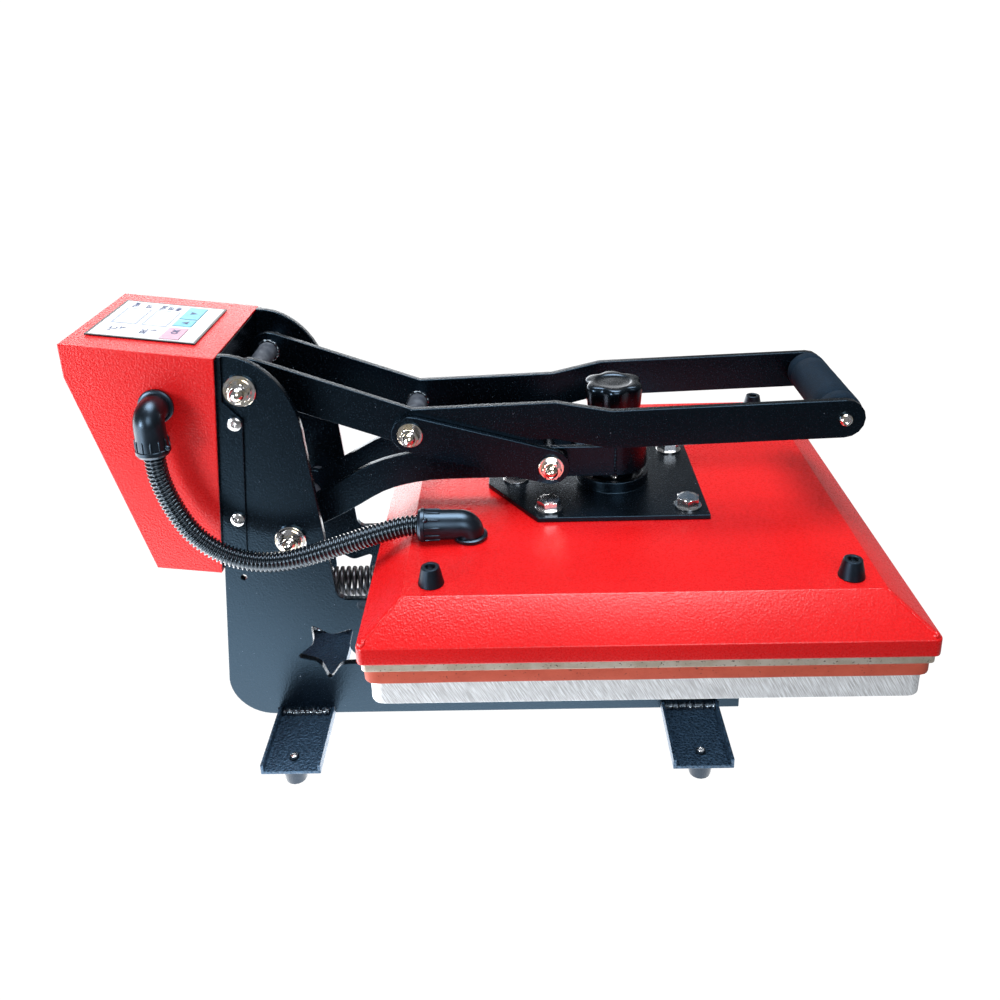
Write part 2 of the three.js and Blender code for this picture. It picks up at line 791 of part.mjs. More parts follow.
// Bracket: a web that closes the box, with a flange along the outside of each side plate
function boxBracket() {
  const low = boxBottomZ + flangeNarrow + bracketSheet * 2;
  const high = plateTopZ - bracketSideGap;
  const innerY = plateOuterY + gap;
  const outerY = innerY + bracketSheet;
  const webHalf = boxHalfWidth - boxSheet - gap;
  const webLow = boxBottomZ + boxSheet + 3 * gap;
  const webHigh = boxTopFrontZ - boxSheet - 3 * gap;
  const stepZ = handlePivot.y - flangeStepDrop;
  const bevel = flangeWide - flangeNarrow;
  const ahead = (by, z) => [rearAt(z) + by, z];
  const web = outline([
    ahead(-gap - bracketSheet, webLow), ahead(-gap, webLow),
    ahead(-gap, webHigh), ahead(-gap - bracketSheet, webHigh),
  ]);
  const flange = outline([
    ahead(-gap - bracketSheet, low),
    ahead(flangeWide - flangeFoot, low),
    ahead(flangeWide, low + flangeFoot),
    ahead(flangeWide, stepZ - bevel / 2),
    ahead(flangeWide - bevel / 2, stepZ),
    ahead(flangeNarrow, stepZ + bevel / 2),
    ahead(flangeNarrow, high),
    ahead(gap, high),
    ahead(gap, webHigh),
    ahead(-gap - bracketSheet, webHigh),
  ]);
  const holes = [-1, 1].flatMap((sign) => screwPoints().map((point) =>
    shaft(point, ...span(sign, innerY - cutOverrun, outerY + cutOverrun), boxScrewRadius + gap)));
  return cut(join([
    sideCut(web, -webHalf, webHalf),
    ...[-1, 1].map((sign) => sideCut(flange, ...span(sign, innerY, outerY))),
  ]), holes);
}
function screwPoints() {
  return boxScrewDrops.map((drop) =>
    new THREE.Vector2(rearAt(handlePivot.y - drop) + boxScrewInset, handlePivot.y - drop));
}
add('box_bracket', boxBracket(), blackPaint());
// Control panel: a printed plate let into the sloping top, with two display windows and three keys
press.add(panelFrame);
const panelX = (share) => -panelHalfX + share * panelLength;
const panelY = (share) => -panelHalfY + share * panelWidth;
const panelTop = panelThickness - panelSink;
const windowY = [panelY(windowLowShare), panelY(windowHighShare)];
const windowX = windowRearShares.map((share) => [panelX(share), panelX(share + windowDepthShare)]);
const keyX = [panelX(keyRearShare), panelX(keyFrontShare)];
const grown = ([low, high], by) => [low - by, high + by];
const throughPanel = [-panelThickness - cutOverrun - boxSheet, panelThickness + cutOverrun];
const panelPlate = join([
  block(-panelHalfX, panelHalfX, -panelHalfY, panelHalfY, gap, panelTop + gap),
  block(-panelHalfX + panelBorder + gap, panelHalfX - panelBorder - gap,
    -panelHalfY + panelBorder + gap, panelHalfY - panelBorder - gap, -panelSink, panelTop),
]);
add('display_panel', cut(panelPlate, [
  ...windowX.map((xs) => block(...grown(xs, gap), ...grown(windowY, gap), ...throughPanel)),
  ...Object.values(keySpans).map((ends) =>
    block(...grown(keyX, gap), ...grown(ends.map(panelY), gap), ...throughPanel)),
]), paint(0xf1f5f8, 0.4, 0), panelFrame);
const boardTop = -boardDrop;
for (const [name, ends] of Object.entries(keySpans)) {
  const keyTop = panelTop + gap + keyProud;
  const stemX = (keyX[0] + keyX[1]) / 2;
  const stemY = panelY((ends[0] + ends[1]) / 2);
  const keyStem = (keyX[1] - keyX[0]) / 4;
  const key = join([
    block(...keyX, ...ends.map(panelY), keyTop - keyThickness, keyTop),
    post(stemX, stemY, boardTop + gap + keyTravel, keyTop - keyThickness / 2, keyStem),
  ]);
  add(name, key, paint(name === 'ok_key' ? 0xf0c4dc : 0x4fc3ea, 0.4, 0), panelFrame);
}
const boardMargin = 3 * panelBorder;
add('display_board', join([
  block(-panelHalfX + boardMargin, panelHalfX - boardMargin, -panelHalfY + boardMargin,
    panelHalfY - boardMargin, boardTop - boardThickness, boardTop),
  ...windowX.map((xs) => block(...xs, ...windowY, boardTop - gap, panelTop)),
  ...[-1, 1].flatMap((sx) => [-1, 1].map((sy) => post(
    sx * (panelHalfX - 2 * boardMargin), sy * (panelHalfY - 2 * boardMargin),
    boardTop - gap, -panelSink - gap, boardMargin))),
]), paint(0x1d6b3a, 0.5, 0), panelFrame);

// Solid-state relay, screwed to the web of the bracket inside the box
const relayBottom = boxBottomZ + relayInset;
const relayTop = relayBottom + relaySize[1];
const relayFrom = 2 * gap + bracketSheet;
add('solid_state_relay', sideCut(outline([
  [rearAt(relayBottom) - relayFrom - relaySize[2], relayBottom],
  [rearAt(relayBottom) - relayFrom, relayBottom],
  [rearAt(relayTop) - relayFrom, relayTop],
  [rearAt(relayTop) - relayFrom - relaySize[2], relayTop],
]), -relaySize[0] / 2, relaySize[0] / 2), blackPlastic());

// Power switch in the far wall
function switchBezel() {
  const face = boxHalfWidth + gap;
  const { x, y: z } = switchPoint;
  const half = [switchLength / 2, switchHeight / 2];
  const body = [half[0] - switchFlange, half[1] - switchFlange];
  const open = [half[0] - rockerMargin, half[1] - rockerMargin];
  return cut(join([
    block(x - half[0], x + half[0], face, face + switchFlange, z - half[1], z + half[1]),
    block(x - body[0], x + body[0], face - switchDepth, face + gap, z - body[1], z + body[1]),
  ]), [block(x - open[0], x + open[0], face - rockerDepth, face + switchFlange + cutOverrun,
    z - open[1], z + open[1])]);
}
add('power_switch_bezel', switchBezel(), blackPlastic());
const rockerFrame = new THREE.Group();
rockerFrame.position.set(switchPoint.x, boxHalfWidth + gap + switchFlange - gap, switchPoint.y);
rockerFrame.rotation.z = THREE.MathUtils.degToRad(rockerTilt);
press.add(rockerFrame);
function rocker() {
  const halfX = switchLength / 2 - rockerMargin - 2 * gap;
  const halfZ = switchHeight / 2 - rockerMargin - gap;
  const shape = outline([
    [-halfX, -rockerRoot], [halfX, -rockerRoot], [halfX, rockerProud * rockerTopShares[0]],
    [0, rockerProud * rockerTopShares[1]], [-halfX, rockerProud * rockerTopShares[0]],
  ]);
  return planCut(shape, -halfZ, halfZ);
}
add('power_rocker', rocker(), blackPlastic(), rockerFrame);

// Mains inlet: a recessed socket with three flat pins
function mainsInlet() {
  const face = boxHalfWidth + gap;
  const { x, y: z } = inletPoint;
  const half = [inletLength / 2, inletHeight / 2];
  const body = [half[0] - inletFlange, half[1] - inletFlange];
  const open = [half[0] - inletWall - gap, half[1] - inletWall - gap];
  const front = face + inletFlange;
  const floorY = front - inletDepth + inletFloor;
  const shell = cut(join([
    block(x - half[0], x + half[0], face, front, z - half[1], z + half[1]),
    block(x - body[0], x + body[0], front - inletDepth, face + gap, z - body[1], z + body[1]),
  ]), [block(x - open[0], x + open[0], floorY, front + cutOverrun, z - open[1], z + open[1])]);
  const pins = [-1, 0, 1].map((step) => {
    const middle = x + step * inletPinPitch;
    return block(middle - inletPinThickness / 2, middle + inletPinThickness / 2,
      floorY - gap, floorY + inletPinLength - gap, z - inletPinWidth / 2, z + inletPinWidth / 2);
  });
  return join([shell, ...pins]);
}
add('mains_inlet', mainsInlet(), blackPlastic());

// Elbow fittings: a round leg into the wall, a ball at the corner and a leg with a socket for the hose
function elbow(corner, wallDirection, wallReach, hoseDirection, hoseReach) {
  const leg = (direction, from, to, radius, steps = roundSteps) => {
    const bar = new THREE.CylinderGeometry(radius, radius, to - from, steps);
    const turn = new THREE.Quaternion().setFromUnitVectors(new THREE.Vector3(0, 1, 0), direction);
    bar.applyQuaternion(turn);
    const middle = corner.clone().addScaledVector(direction, (from + to) / 2);
    bar.translate(middle.x, middle.y, middle.z);
    return solid(bar);
  };
  const ball = new THREE.SphereGeometry(elbowRadius, roundSteps, roundSteps / 2);
  ball.translate(corner.x, corner.y, corner.z);
  const collar = elbowRadius + elbowCollarStep;
  const stubEnd = wallReach + elbowStubLength + gap;
  const nutFrom = wallReach + coverSheet + gap;
  return cut(join([
    solid(ball),
    leg(wallDirection, 0, wallReach - gap, elbowRadius),
    leg(wallDirection, wallReach - gap - elbowFlangeThickness, wallReach - gap, elbowFlangeRadius, fineSteps),
    leg(wallDirection, 0, stubEnd, elbowStubRadius),
    leg(hoseDirection, 0, hoseReach, elbowRadius),
    leg(hoseDirection, hoseReach - elbowSocketDepth, hoseReach, collar),
    leg(wallDirection, nutFrom, nutFrom + elbowNutThickness, elbowNutRadius, 6),
  ]), [
    leg(wallDirection, 0, stubEnd + cutOverrun, elbowBore),
    leg(hoseDirection, 0, hoseReach, elbowBore),
    leg(hoseDirection, hoseReach - elbowSocketDepth, hoseReach + cutOverrun, hoseRadius + gap),
  ]);
}
const boxElbowReach = boxElbowRise + elbowSocketDepth - gap;
add('box_elbow', elbow(
  new THREE.Vector3(boxElbowPoint.x, hoseStart.y, boxElbowPoint.y),
  new THREE.Vector3(0, 1, 0), -hoseStart.y - boxHalfWidth,
  new THREE.Vector3(0, 0, -1), boxElbowReach,
), blackPlastic());

// Ribbed hose: one unbroken corrugated tube with its bore
function ribbedHose() {
  const fall = hoseStart.z - hoseEnd.z;
  const curve = new THREE.CatmullRomCurve3(hoseRouteShares.map(([along, up]) => new THREE.Vector3(
    hoseStart.x + along * (hoseEnd.x - hoseStart.x), hoseY, hoseEnd.z + up * fall)));
  const stations = 2 * hoseRibs;
  const path = curve.getSpacedPoints(stations);
  const radii = path.map((_, i) => (i % 2 ? hoseRadius : hoseRootRadius));
  const outer = ringsAlong(path, radii, hoseSides);
  const boreRings = ringsAlong(path, radii.map(() => hoseBoreRadius), hoseSides);
  const step = 2 * hoseRibsPerBoreRing;
  const inner = boreRings.filter((_, i) => i % step === 0 || i === stations);
  console.log(`hose length ${curve.getLength().toFixed(1)} mm`);
  return skin(outer, inner, null);
}
add('conduit_hose', ribbedHose(), blackPlastic());

// Handle bars: flat bars bent once at the knee and cranked outwards before the grip
const barOuterY = barRearY + barThickness / 2;
const barInnerY = barRearY - barThickness / 2;
const gripHalf = barFrontY - barThickness / 2 - gap;
function handleBar(sign) {
  const knee = new THREE.Vector2(linkPin.x, linkPin.y + barKneeRise);
  const sideShape = strap([handlePivot, knee, gripPoint], barWidth / 2);
  sideShape.holes.push(
    roundHole(handlePivot, pivotTubeRadius + gap),
    roundHole(linkPin, linkPinRadius + gap),
    roundHole(gripPoint, gripRodRadius + gap),
  );
  const planShape = strap([
    new THREE.Vector2(handlePivot.x - barWidth, sign * barRearY),
    new THREE.Vector2(joggleRearX, sign * barRearY),
    new THREE.Vector2(joggleFrontX, sign * barFrontY),
    new THREE.Vector2(gripX + barWidth, sign * barFrontY),
  ], barThickness / 2, false, false);
  const [near, far] = span(sign, barInnerY - cutOverrun, barFrontY + barThickness);
  const lowest = armLevel - barWidth;
  const highest = handlePivot.y + barWidth;
  return sideCut(sideShape, near, far).intersect(planCut(planShape, lowest, highest));
}
for (const [name, sign] of sides) add(`${name}_handle_bar`, handleBar(sign), blackPaint());
add('handle_pivot_tube', sleeve(handlePivot, -tieSpan, tieSpan), greyTube());
add('link_pin', join([
  shaft(linkPin, -barInnerY + gap, barInnerY - gap, pivotTubeRadius),
  shaft(linkPin, -barOuterY, barOuterY, linkPinRadius),
]), greyTube());

// Hand grip: a steel tube between the bars with a foam sleeve, held by a rod that is riveted over at both ends
add('grip_tube', cut(shaft(gripPoint, -gripHalf, gripHalf, gripTubeRadius), [
  shaft(gripPoint, -gripHalf + gripPlugLength, gripHalf - gripPlugLength, gripTubeRadius - gripWall),
  shaft(gripPoint, -gripHalf - cutOverrun, gripHalf + cutOverrun, gripRodRadius + gap),
]), zinc());
function foamSleeve() {
  const half = gripHalf - gap;
  const grooveAt = half * (1 - 2 * foamGrooveShare);
  const edge = foamGrooveWidth / 2;
  const root = foamRadius - foamGrooveDepth;
  const bore = gripTubeRadius + gap;
  const halfProfile = [
    [bore, half], [foamRadius - foamEndRound, half], [foamRadius, half - foamEndRound],
    [foamRadius, grooveAt + edge], [root, grooveAt], [foamRadius, grooveAt - edge],
  ];
  const profile = [...halfProfile, ...halfProfile.slice().reverse().map(([r, y]) => [r, -y])];
  profile.push(profile[0]);
  const sleeveShape = new THREE.LatheGeometry(profile.map(([r, y]) => new THREE.Vector2(r, y)), fineSteps);
  sleeveShape.translate(gripPoint.x, 0, gripPoint.y);
  return solid(sleeveShape);
}
add('foam_grip', foamSleeve(), foam());
const gripFace = barFrontY + barThickness / 2 + gap;
add('grip_rod', join([
  shaft(gripPoint, -gripFace - gripRodHeadHeight / 2, gripFace + gripRodHeadHeight / 2, gripRodRadius),
  ...[-1, 1].map((sign) =>
    shaft(gripPoint, ...span(sign, gripFace, gripFace + gripRodHeadHeight), gripRodHeadRadius)),
]), chrome());

// Links outside the bars, from the pin on the handle down to the bolt on the swing arm
for (const [name, sign] of sides) {
  const shape = strap([linkPin, linkBolt], linkHalfWidth);
  shape.holes.push(roundHole(linkPin, linkPinRadius + gap), roundHole(linkBolt, linkPinRadius + gap));
  add(`${name}_link`, sideCut(shape, ...span(sign, linkInnerY, linkOuterY)), blackPaint());
}
for (const [name, sign] of sides) {
  add(`${name}_link_stud`, acornNut(linkPin, sign * linkOuterY, sign, pinNut, false).add(
    shaft(linkPin, ...span(sign, linkInnerY, linkOuterY + pinPastWasher), linkPinRadius),
  ), chrome());
}

// Swing arm: two gooseneck plates with a tail for the spring, joined by a nose block at the front
function swingArm(sign) {
  const rise = armLevel - armPivot.y;
  const reach = screwX - armPivot.x;
  const neck = armNeckShares.map(([along, up]) =>
    new THREE.Vector3(armPivot.x + along * reach, armPivot.y + up * rise, 0));
  const route = new THREE.CatmullRomCurve3([
    new THREE.Vector3(armPivot.x, armPivot.y, 0), ...neck,
    new THREE.Vector3(screwX - gap, armLevel, 0),
  ]).getPoints(roundSteps).map((point) => new THREE.Vector2(point.x, point.y));
  const [near, far] = span(sign, armOuterY - armThickness, armOuterY);
  const holes = [[armPivot, pivotTubeRadius], [linkBolt, linkPinRadius], [tailPoint, tailPinRadius]];
  const outside = linkInnerY - gap + cutOverrun;
  return cut(join([
    shaft(linkBolt, ...span(sign, armOuterY - gap, linkInnerY - gap), pivotTubeRadius),
    sideCut(strap(route, armHalfWidth, true, false), near, far),
    sideCut(strap([armPivot, tailPoint], tailHalfWidth), near, far),
    shaft(armPivot, near, far, armHeelRadius, fineSteps),
  ]), holes.map(([point, radius]) => shaft(point, -outside, outside, radius + gap)));
}
for (const [name, sign] of sides) add(`${name}_swing_arm`, swingArm(sign), blackPaint());
const armInnerY = armOuterY - armThickness;
add('arm_pivot_tube', sleeve(armPivot, -tieSpan, tieSpan), greyTube());
function armNose() {
  const inner = armInnerY - gap;
  const shape = new THREE.Shape();
  shape.moveTo(screwX - noseLength, -inner);
  shape.lineTo(screwX, -inner);
  shape.lineTo(screwX, -armOuterY);
  shape.absarc(screwX, 0, armOuterY, -Math.PI / 2, Math.PI / 2, false);
  shape.lineTo(screwX, inner);
  shape.lineTo(screwX - noseLength, inner);
  shape.holes.push(roundHole(new THREE.Vector2(screwX, 0), screwRadius + gap));
  return planCut(shape, noseBottom, noseTop);
}
add('arm_nose', armNose(), blackPaint());
const [linkBoltBody, linkBoltNut] = pivotPair(linkBolt, linkOuterY, pinNut);
add('link_bolt', linkBoltBody, chrome());
add('link_bolt_nut', linkBoltNut, chrome());

// Counterbalance spring between the tail pin and a pin across the side plates
add('spring_tail_pin', shaft(tailPoint, -armOuterY, armOuterY, tailPinRadius), zinc());
add('spring_anchor_pin', shaft(anchorPoint, -tieSpan, tieSpan, anchorPinRadius), zinc());
function springPath() {
  const hookRadius = tailPinRadius + springWireRadius + springSlack;
  const neckLength = springRadius;
  const startX = tailPoint.x + hookRadius + neckLength;
  const endX = anchorPoint.x - hookRadius - neckLength;
  const curls = Math.floor((endX - startX) / springPitch);
  const pitch = (endX - startX) / curls;
  const path = [];
  const hook = (pin, direction) => Array.from({ length: springStepsPerCurl - 1 }, (_, i) => {
    const angle = -Math.PI / 2 + (Math.PI * i) / (springStepsPerCurl - 2);
    return new THREE.Vector3(
      pin.x - direction * hookRadius * Math.cos(angle), 0, pin.y + hookRadius * Math.sin(angle));
  });
  path.push(...hook(tailPoint, 1));
  for (let i = 0; i <= curls * springStepsPerCurl; i += 1) {
    const angle = (2 * Math.PI * i) / springStepsPerCurl;
    path.push(new THREE.Vector3(
      startX + (pitch * i) / springStepsPerCurl,
      springRadius * Math.sin(angle),
      tailPoint.y + springRadius * Math.cos(angle),
    ));
  }
  path.push(...hook(anchorPoint, -1).reverse());
  return path;
}
const springLine = springPath();
let springGap = Infinity;
springLine.forEach((point, i) => springLine.forEach((other, k) => {
  if (Math.abs(i - k) <= springStepsPerCurl / 2) return;
  springGap = Math.min(springGap, point.distanceTo(other) - 2 * springWireRadius);
}));
console.log(`spring least gap ${springGap.toFixed(2)} mm`);
add('counter_spring', roundTube(springLine, springWireRadius, springSides), blackPaint());

// Mounting plate with a pointed rear edge, and the welded boss that holds the foot of the screw
const mountShape = outline([
  [screwX - mountPlateRear, -mountPlateHalf], [screwX + mountPlateFront, -mountPlateHalf],
  [screwX + mountPlateFront, mountPlateHalf], [screwX - mountPlateRear, mountPlateHalf],
  [screwX - mountPlateTip, mountPlateTipHalf], [screwX - mountPlateTip, -mountPlateTipHalf],
]);
const bossRim = mountTop + bossRingHeight;
const screwFoot = mountTop + bossFloor;
add('mount_plate', cut(join([
  planCut(mountShape, coverTop, mountTop),
  cut(post(screwX, 0, mountTop - gap, bossRim, bossRadius, fineSteps), [
    post(screwX, 0, screwFoot, bossRim + cutOverrun, bossRadius - bossRingWall, fineSteps)]),
  post(screwX, 0, mountTop, hubTop, hubRadius, fineSteps),
]), [post(screwX, 0, screwFoot, hubTop + cutOverrun, screwRadius + gap)]), blackPaint());

// Pressure screw through the nose, with a lobed knob on top
const knobBottom = noseTop + knobRise;
const knobTop = knobBottom + knobHeight;
add('pressure_screw', post(screwX, 0, screwFoot + screwFootClear, knobTop - knobBoltCover - gap, screwRadius),
  zinc());
function lobedShape(share) {
  const points = Array.from({ length: knobLobes * arcSteps }, (_, i) => {
    const angle = (2 * Math.PI * i) / (knobLobes * arcSteps);
    const swell = Math.abs(Math.sin((knobLobes * angle) / 2));
    const radius = share * knobRadius * (knobRootShare + (1 - knobRootShare) * Math.sqrt(swell));
    return new THREE.Vector2(screwX + radius * Math.cos(angle), radius * Math.sin(angle));
  });
  return new THREE.Shape(points);
}
add('pressure_knob', cut(join([
  planCut(lobedShape(1), knobBottom + knobSkirtHeight, knobTop),
  planCut(lobedShape(knobSkirtShare), knobBottom, knobBottom + knobSkirtHeight + gap),
]), [
  post(screwX, 0, knobTop - knobRecessDepth, knobTop + cutOverrun, knobRecessRadius, fineSteps),
  post(screwX, 0, knobBottom - cutOverrun, knobTop - knobBoltCover, screwRadius + gap),
]), blackPlastic());

// Top cover: folded sheet with a skirt, four bevels and a flat top, open underneath
function frustum(low, high, z0, z1) {
  const corners = [
    [-low, -low, z0], [low, -low, z0], [low, low, z0], [-low, low, z0],
    [-high, -high, z1], [high, -high, z1], [high, high, z1], [-high, high, z1],
  ].map((point) => new THREE.Vector3(...point));
  const faces = [
    [0, 2, 1], [0, 3, 2], [4, 5, 6], [4, 6, 7], [0, 1, 5], [0, 5, 4],
    [1, 2, 6], [1, 6, 5], [2, 3, 7], [2, 7, 6], [3, 0, 4], [3, 4, 7],
  ];
  return solid(new THREE.BufferGeometry().setFromPoints(faces.flat().map((i) => corners[i])));
}
function coverForm(inset, bottom) {
  const half = coverHalf - inset;
  const corner = Math.max(coverCorner - inset, gap);
  const skirtTop = coverBottom + skirtHeight;
  return join([
    planCut(roundedSquare(half, corner), bottom, skirtTop, 3),
    frustum(half - corner / 2, coverFlatHalf - inset, skirtTop - gap / 10, coverTop - inset),
  ]);
}
const coverElbowHole = post(elbowSeat.x, elbowSeat.y, coverTop - coverSheet - cutOverrun,
  coverTop + cutOverrun, elbowStubRadius + gap);
add('top_cover', cut(coverForm(0, coverBottom), [
  coverForm(coverSheet, coverBottom - cutOverrun),
  coverElbowHole,
]), redPaint());

// Heated platen and the bent tube element that lies on it
const heaterHalf = coverHalf - coverSheet - heaterSideGap;
add('heater_platen', planCut(roundedSquare(heaterHalf, coverCorner), heaterBottom, heaterTop, 3),
  milledAluminium());
function elementPath() {
  const z = heaterTop + gap + elementRadius;
  const inner = elementHalf - elementCorner;
  const corners = [[-1, -1], [1, -1], [1, 1], [-1, 1]];
  const cornerSteps = 3;
  const path = [new THREE.Vector3(-elementHalf, -inner / 3, z)];
  corners.forEach(([sx, sy], i) => {
    for (let k = 0; k <= cornerSteps; k += 1) {
      const angle = Math.PI * (1 + i / 2) + (Math.PI / 2) * (k / cornerSteps);
      path.push(new THREE.Vector3(
        sx * inner + elementCorner * Math.cos(angle), sy * inner + elementCorner * Math.sin(angle), z));
    }
  });
  path.push(new THREE.Vector3(-elementHalf, inner / 3, z));
  return path;
}
add('heating_element', roundTube(elementPath(), elementRadius, arcSteps), zinc());

// Four rubber bumpers on the cover
for (const [end, sx] of [['rear', -1], ['front', 1]]) {
  for (const [side, sy] of sides) {
    const x = sx * (coverFlatHalf - bumperInsetX);
    const y = sy * (coverFlatHalf - bumperInsetY);
    const top = coverTop + bumperHeight;
    add(`${end}_${side}_bumper`, cut(
      post(x, y, coverTop, top, bumperBaseRadius, roundSteps, bumperTopRadius),
      [post(x, y, top - bumperWellDepth, top + cutOverrun, bumperWellRadius)],
    ), rubber());
  }
}

// Elbow on the cover
add('cover_elbow', elbow(
  elbowSeat, new THREE.Vector3(0, 0, -1), elbowSeat.z - coverTop,
  new THREE.Vector3(-1, 0, 0), coverElbowReach + elbowSocketDepth - gap,
), blackPlastic());

export default press;
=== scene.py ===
import json
import math

import bmesh
import bpy
from mathutils import Matrix, Vector, noise

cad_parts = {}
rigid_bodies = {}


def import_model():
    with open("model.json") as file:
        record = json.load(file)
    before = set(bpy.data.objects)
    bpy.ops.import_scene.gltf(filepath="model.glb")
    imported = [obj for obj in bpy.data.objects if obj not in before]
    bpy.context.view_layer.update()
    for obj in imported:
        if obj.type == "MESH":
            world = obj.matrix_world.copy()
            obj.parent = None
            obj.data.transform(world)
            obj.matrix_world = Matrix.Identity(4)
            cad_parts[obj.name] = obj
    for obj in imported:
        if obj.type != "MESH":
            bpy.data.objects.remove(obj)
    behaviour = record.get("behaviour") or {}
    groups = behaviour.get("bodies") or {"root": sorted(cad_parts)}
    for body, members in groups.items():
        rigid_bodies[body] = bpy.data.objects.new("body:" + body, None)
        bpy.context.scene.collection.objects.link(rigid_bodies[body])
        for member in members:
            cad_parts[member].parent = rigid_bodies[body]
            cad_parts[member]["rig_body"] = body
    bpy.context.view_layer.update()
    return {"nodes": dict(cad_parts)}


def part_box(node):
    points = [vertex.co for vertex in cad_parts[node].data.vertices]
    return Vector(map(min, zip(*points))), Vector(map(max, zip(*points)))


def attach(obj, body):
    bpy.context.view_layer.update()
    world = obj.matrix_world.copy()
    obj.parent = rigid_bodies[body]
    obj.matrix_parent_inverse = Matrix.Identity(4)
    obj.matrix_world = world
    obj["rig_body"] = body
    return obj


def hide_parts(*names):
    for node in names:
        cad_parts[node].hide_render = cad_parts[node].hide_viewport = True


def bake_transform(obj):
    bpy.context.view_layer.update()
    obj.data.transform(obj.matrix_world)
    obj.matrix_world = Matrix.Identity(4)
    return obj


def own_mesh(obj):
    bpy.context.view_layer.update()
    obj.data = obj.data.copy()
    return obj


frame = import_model()

# Camera: stands at the left side of the press, well above it, and looks down at it by 21 degrees.
# The lens is shifted so that the press sits below the middle of the frame.
def placed(x_way, y_way, z_way, spot):
    """A matrix that turns the axes to the given ways and moves the origin to the spot."""
    return Matrix([*zip(x_way, y_way, z_way, spot), (0, 0, 0, 1)])


camera_down, camera_turn, camera_roll = (math.radians(a) for a in (21.1176, -1.3324, -1.7527))
camera_ahead = Vector((
    math.sin(camera_turn) * math.cos(camera_down),
    math.cos(camera_turn) * math.cos(camera_down),
    -math.sin(camera_down)))
camera_level = Vector((math.cos(camera_turn), -math.sin(camera_turn), 0))
camera_up = camera_level.cross(camera_ahead)
camera_side = camera_level * math.cos(camera_roll) + camera_up * math.sin(camera_roll)
camera_top = camera_up * math.cos(camera_roll) - camera_level * math.sin(camera_roll)
camera_spot = (0.03149, -0.73633, 0.58446)
camera_lens = bpy.data.cameras.new("camera")
camera_lens.sensor_width = 36
camera_lens.lens = 34.925
camera_lens.shift_y = -0.12015
camera = bpy.data.objects.new("camera", camera_lens)
camera.matrix_world = placed(camera_side, camera_top, -camera_ahead, camera_spot)
bpy.context.scene.collection.objects.link(camera)
bpy.context.scene.camera = camera


# Conduit hose: a corrugated black nylon hose that carries the heater's leads from the control box
# to the head. It is blow-moulded in round ribs, and both ends are pushed into the elbows.
class Signal:
    """A socket of a material's nodes: sums on it add Math nodes, and node() adds any other."""

    def __init__(self, socket):
        self.socket = socket

    def node(self, kind, settings=(), values=(), out=0):
        tree = self.socket.id_data
        made = tree.nodes.new("ShaderNode" + kind)
        for name, value in dict(settings).items():
            setattr(made, name, value)
        for name, value in dict(values).items():
            if isinstance(value, Signal):
                tree.links.new(value.socket, made.inputs[name])
            else:
                made.inputs[name].default_value = value
        return Signal(made.outputs[out])

    def math(self, operation, *terms):
        return self.node("Math", {"operation": operation}, dict(enumerate(terms)))

    def __add__(self, other):
        return self.math("ADD", self, other)

    def __rsub__(self, other):
        return self.math("SUBTRACT", other, self)

    def __mul__(self, other):
        return self.math("MULTIPLY", self, other)

    __radd__, __rmul__ = __add__, __mul__

    def above(self, low, high):
        """0 below low, 1 above high, and smooth between them."""
        return self.node("MapRange", {"interpolation_type": "SMOOTHSTEP"},
                         {"Value": self, "From Min": low, "From Max": high})

    def tone(self, first, second):
        """A colour from first, where this is 0, to second, where it is 1."""
        return self.node("Mix", {"data_type": "RGBA"}, {"Factor": self, 6: first, 7: second}, out=2)

    def grain(self, scale, detail, rough=0.5):
        """Fractal noise over a position, 0 to 1."""
        return self.node("TexNoise", (),
                         {"Vector": self, "Scale": scale, "Detail": detail, "Roughness": rough})

    def stretched(self, x, y, z):
        """This position, scaled along the axes."""
        return self.node("Mapping", (), {"Vector": self, "Scale": (x, y, z)})

    def part(self, axis):
        """One coordinate of this position."""
        return self.node("SeparateXYZ", (), {"Vector": self}, out=axis)

    def relief(self, depth, strength):
        """This height, in units of depth metres, as a bumped normal."""
        return self.node("Bump", (), {"Height": self, "Distance": depth, "Strength": strength})

    def cells(self, scale, smoothness):
        """Rounded cells over a position, 0 at their middles."""
        return self.node("TexVoronoi", {"feature": "SMOOTH_F1"},
                         {"Vector": self, "Scale": scale, "Smoothness": smoothness})


def new_finish(name, **constants):
    """A new material, its shader, and the position on the press that its patterns follow."""
    material = bpy.data.materials.new(name)
    material.use_nodes = True
    nodes = material.node_tree.nodes
    shader = nodes["Principled BSDF"]
    for socket, value in constants.items():
        shader.inputs[socket.replace("_", " ")].default_value = value
    return material, shader, Signal(nodes.new("ShaderNodeTexCoord").outputs["Object"])


def feed(shader, **signals):
    """Links signals to the shader's sockets, which are named with _ for a space."""
    for socket, signal in signals.items():
        signal.socket.id_data.links.new(signal.socket, shader.inputs[socket.replace("_", " ")])


def new_verts(made):
    """The points among what an operator has made."""
    return [item for item in made["geom"] if isinstance(item, bmesh.types.BMVert)]


def new_edges(made):
    """The edges among what an operator has made."""
    return [item for item in made["geom"] if isinstance(item, bmesh.types.BMEdge)]


def open_rim(ring):
    """The edges round a ring of points that have one face or none, in their order."""
    return list(dict.fromkeys(edge for vert in ring for edge in vert.link_edges if len(edge.link_faces) < 2))


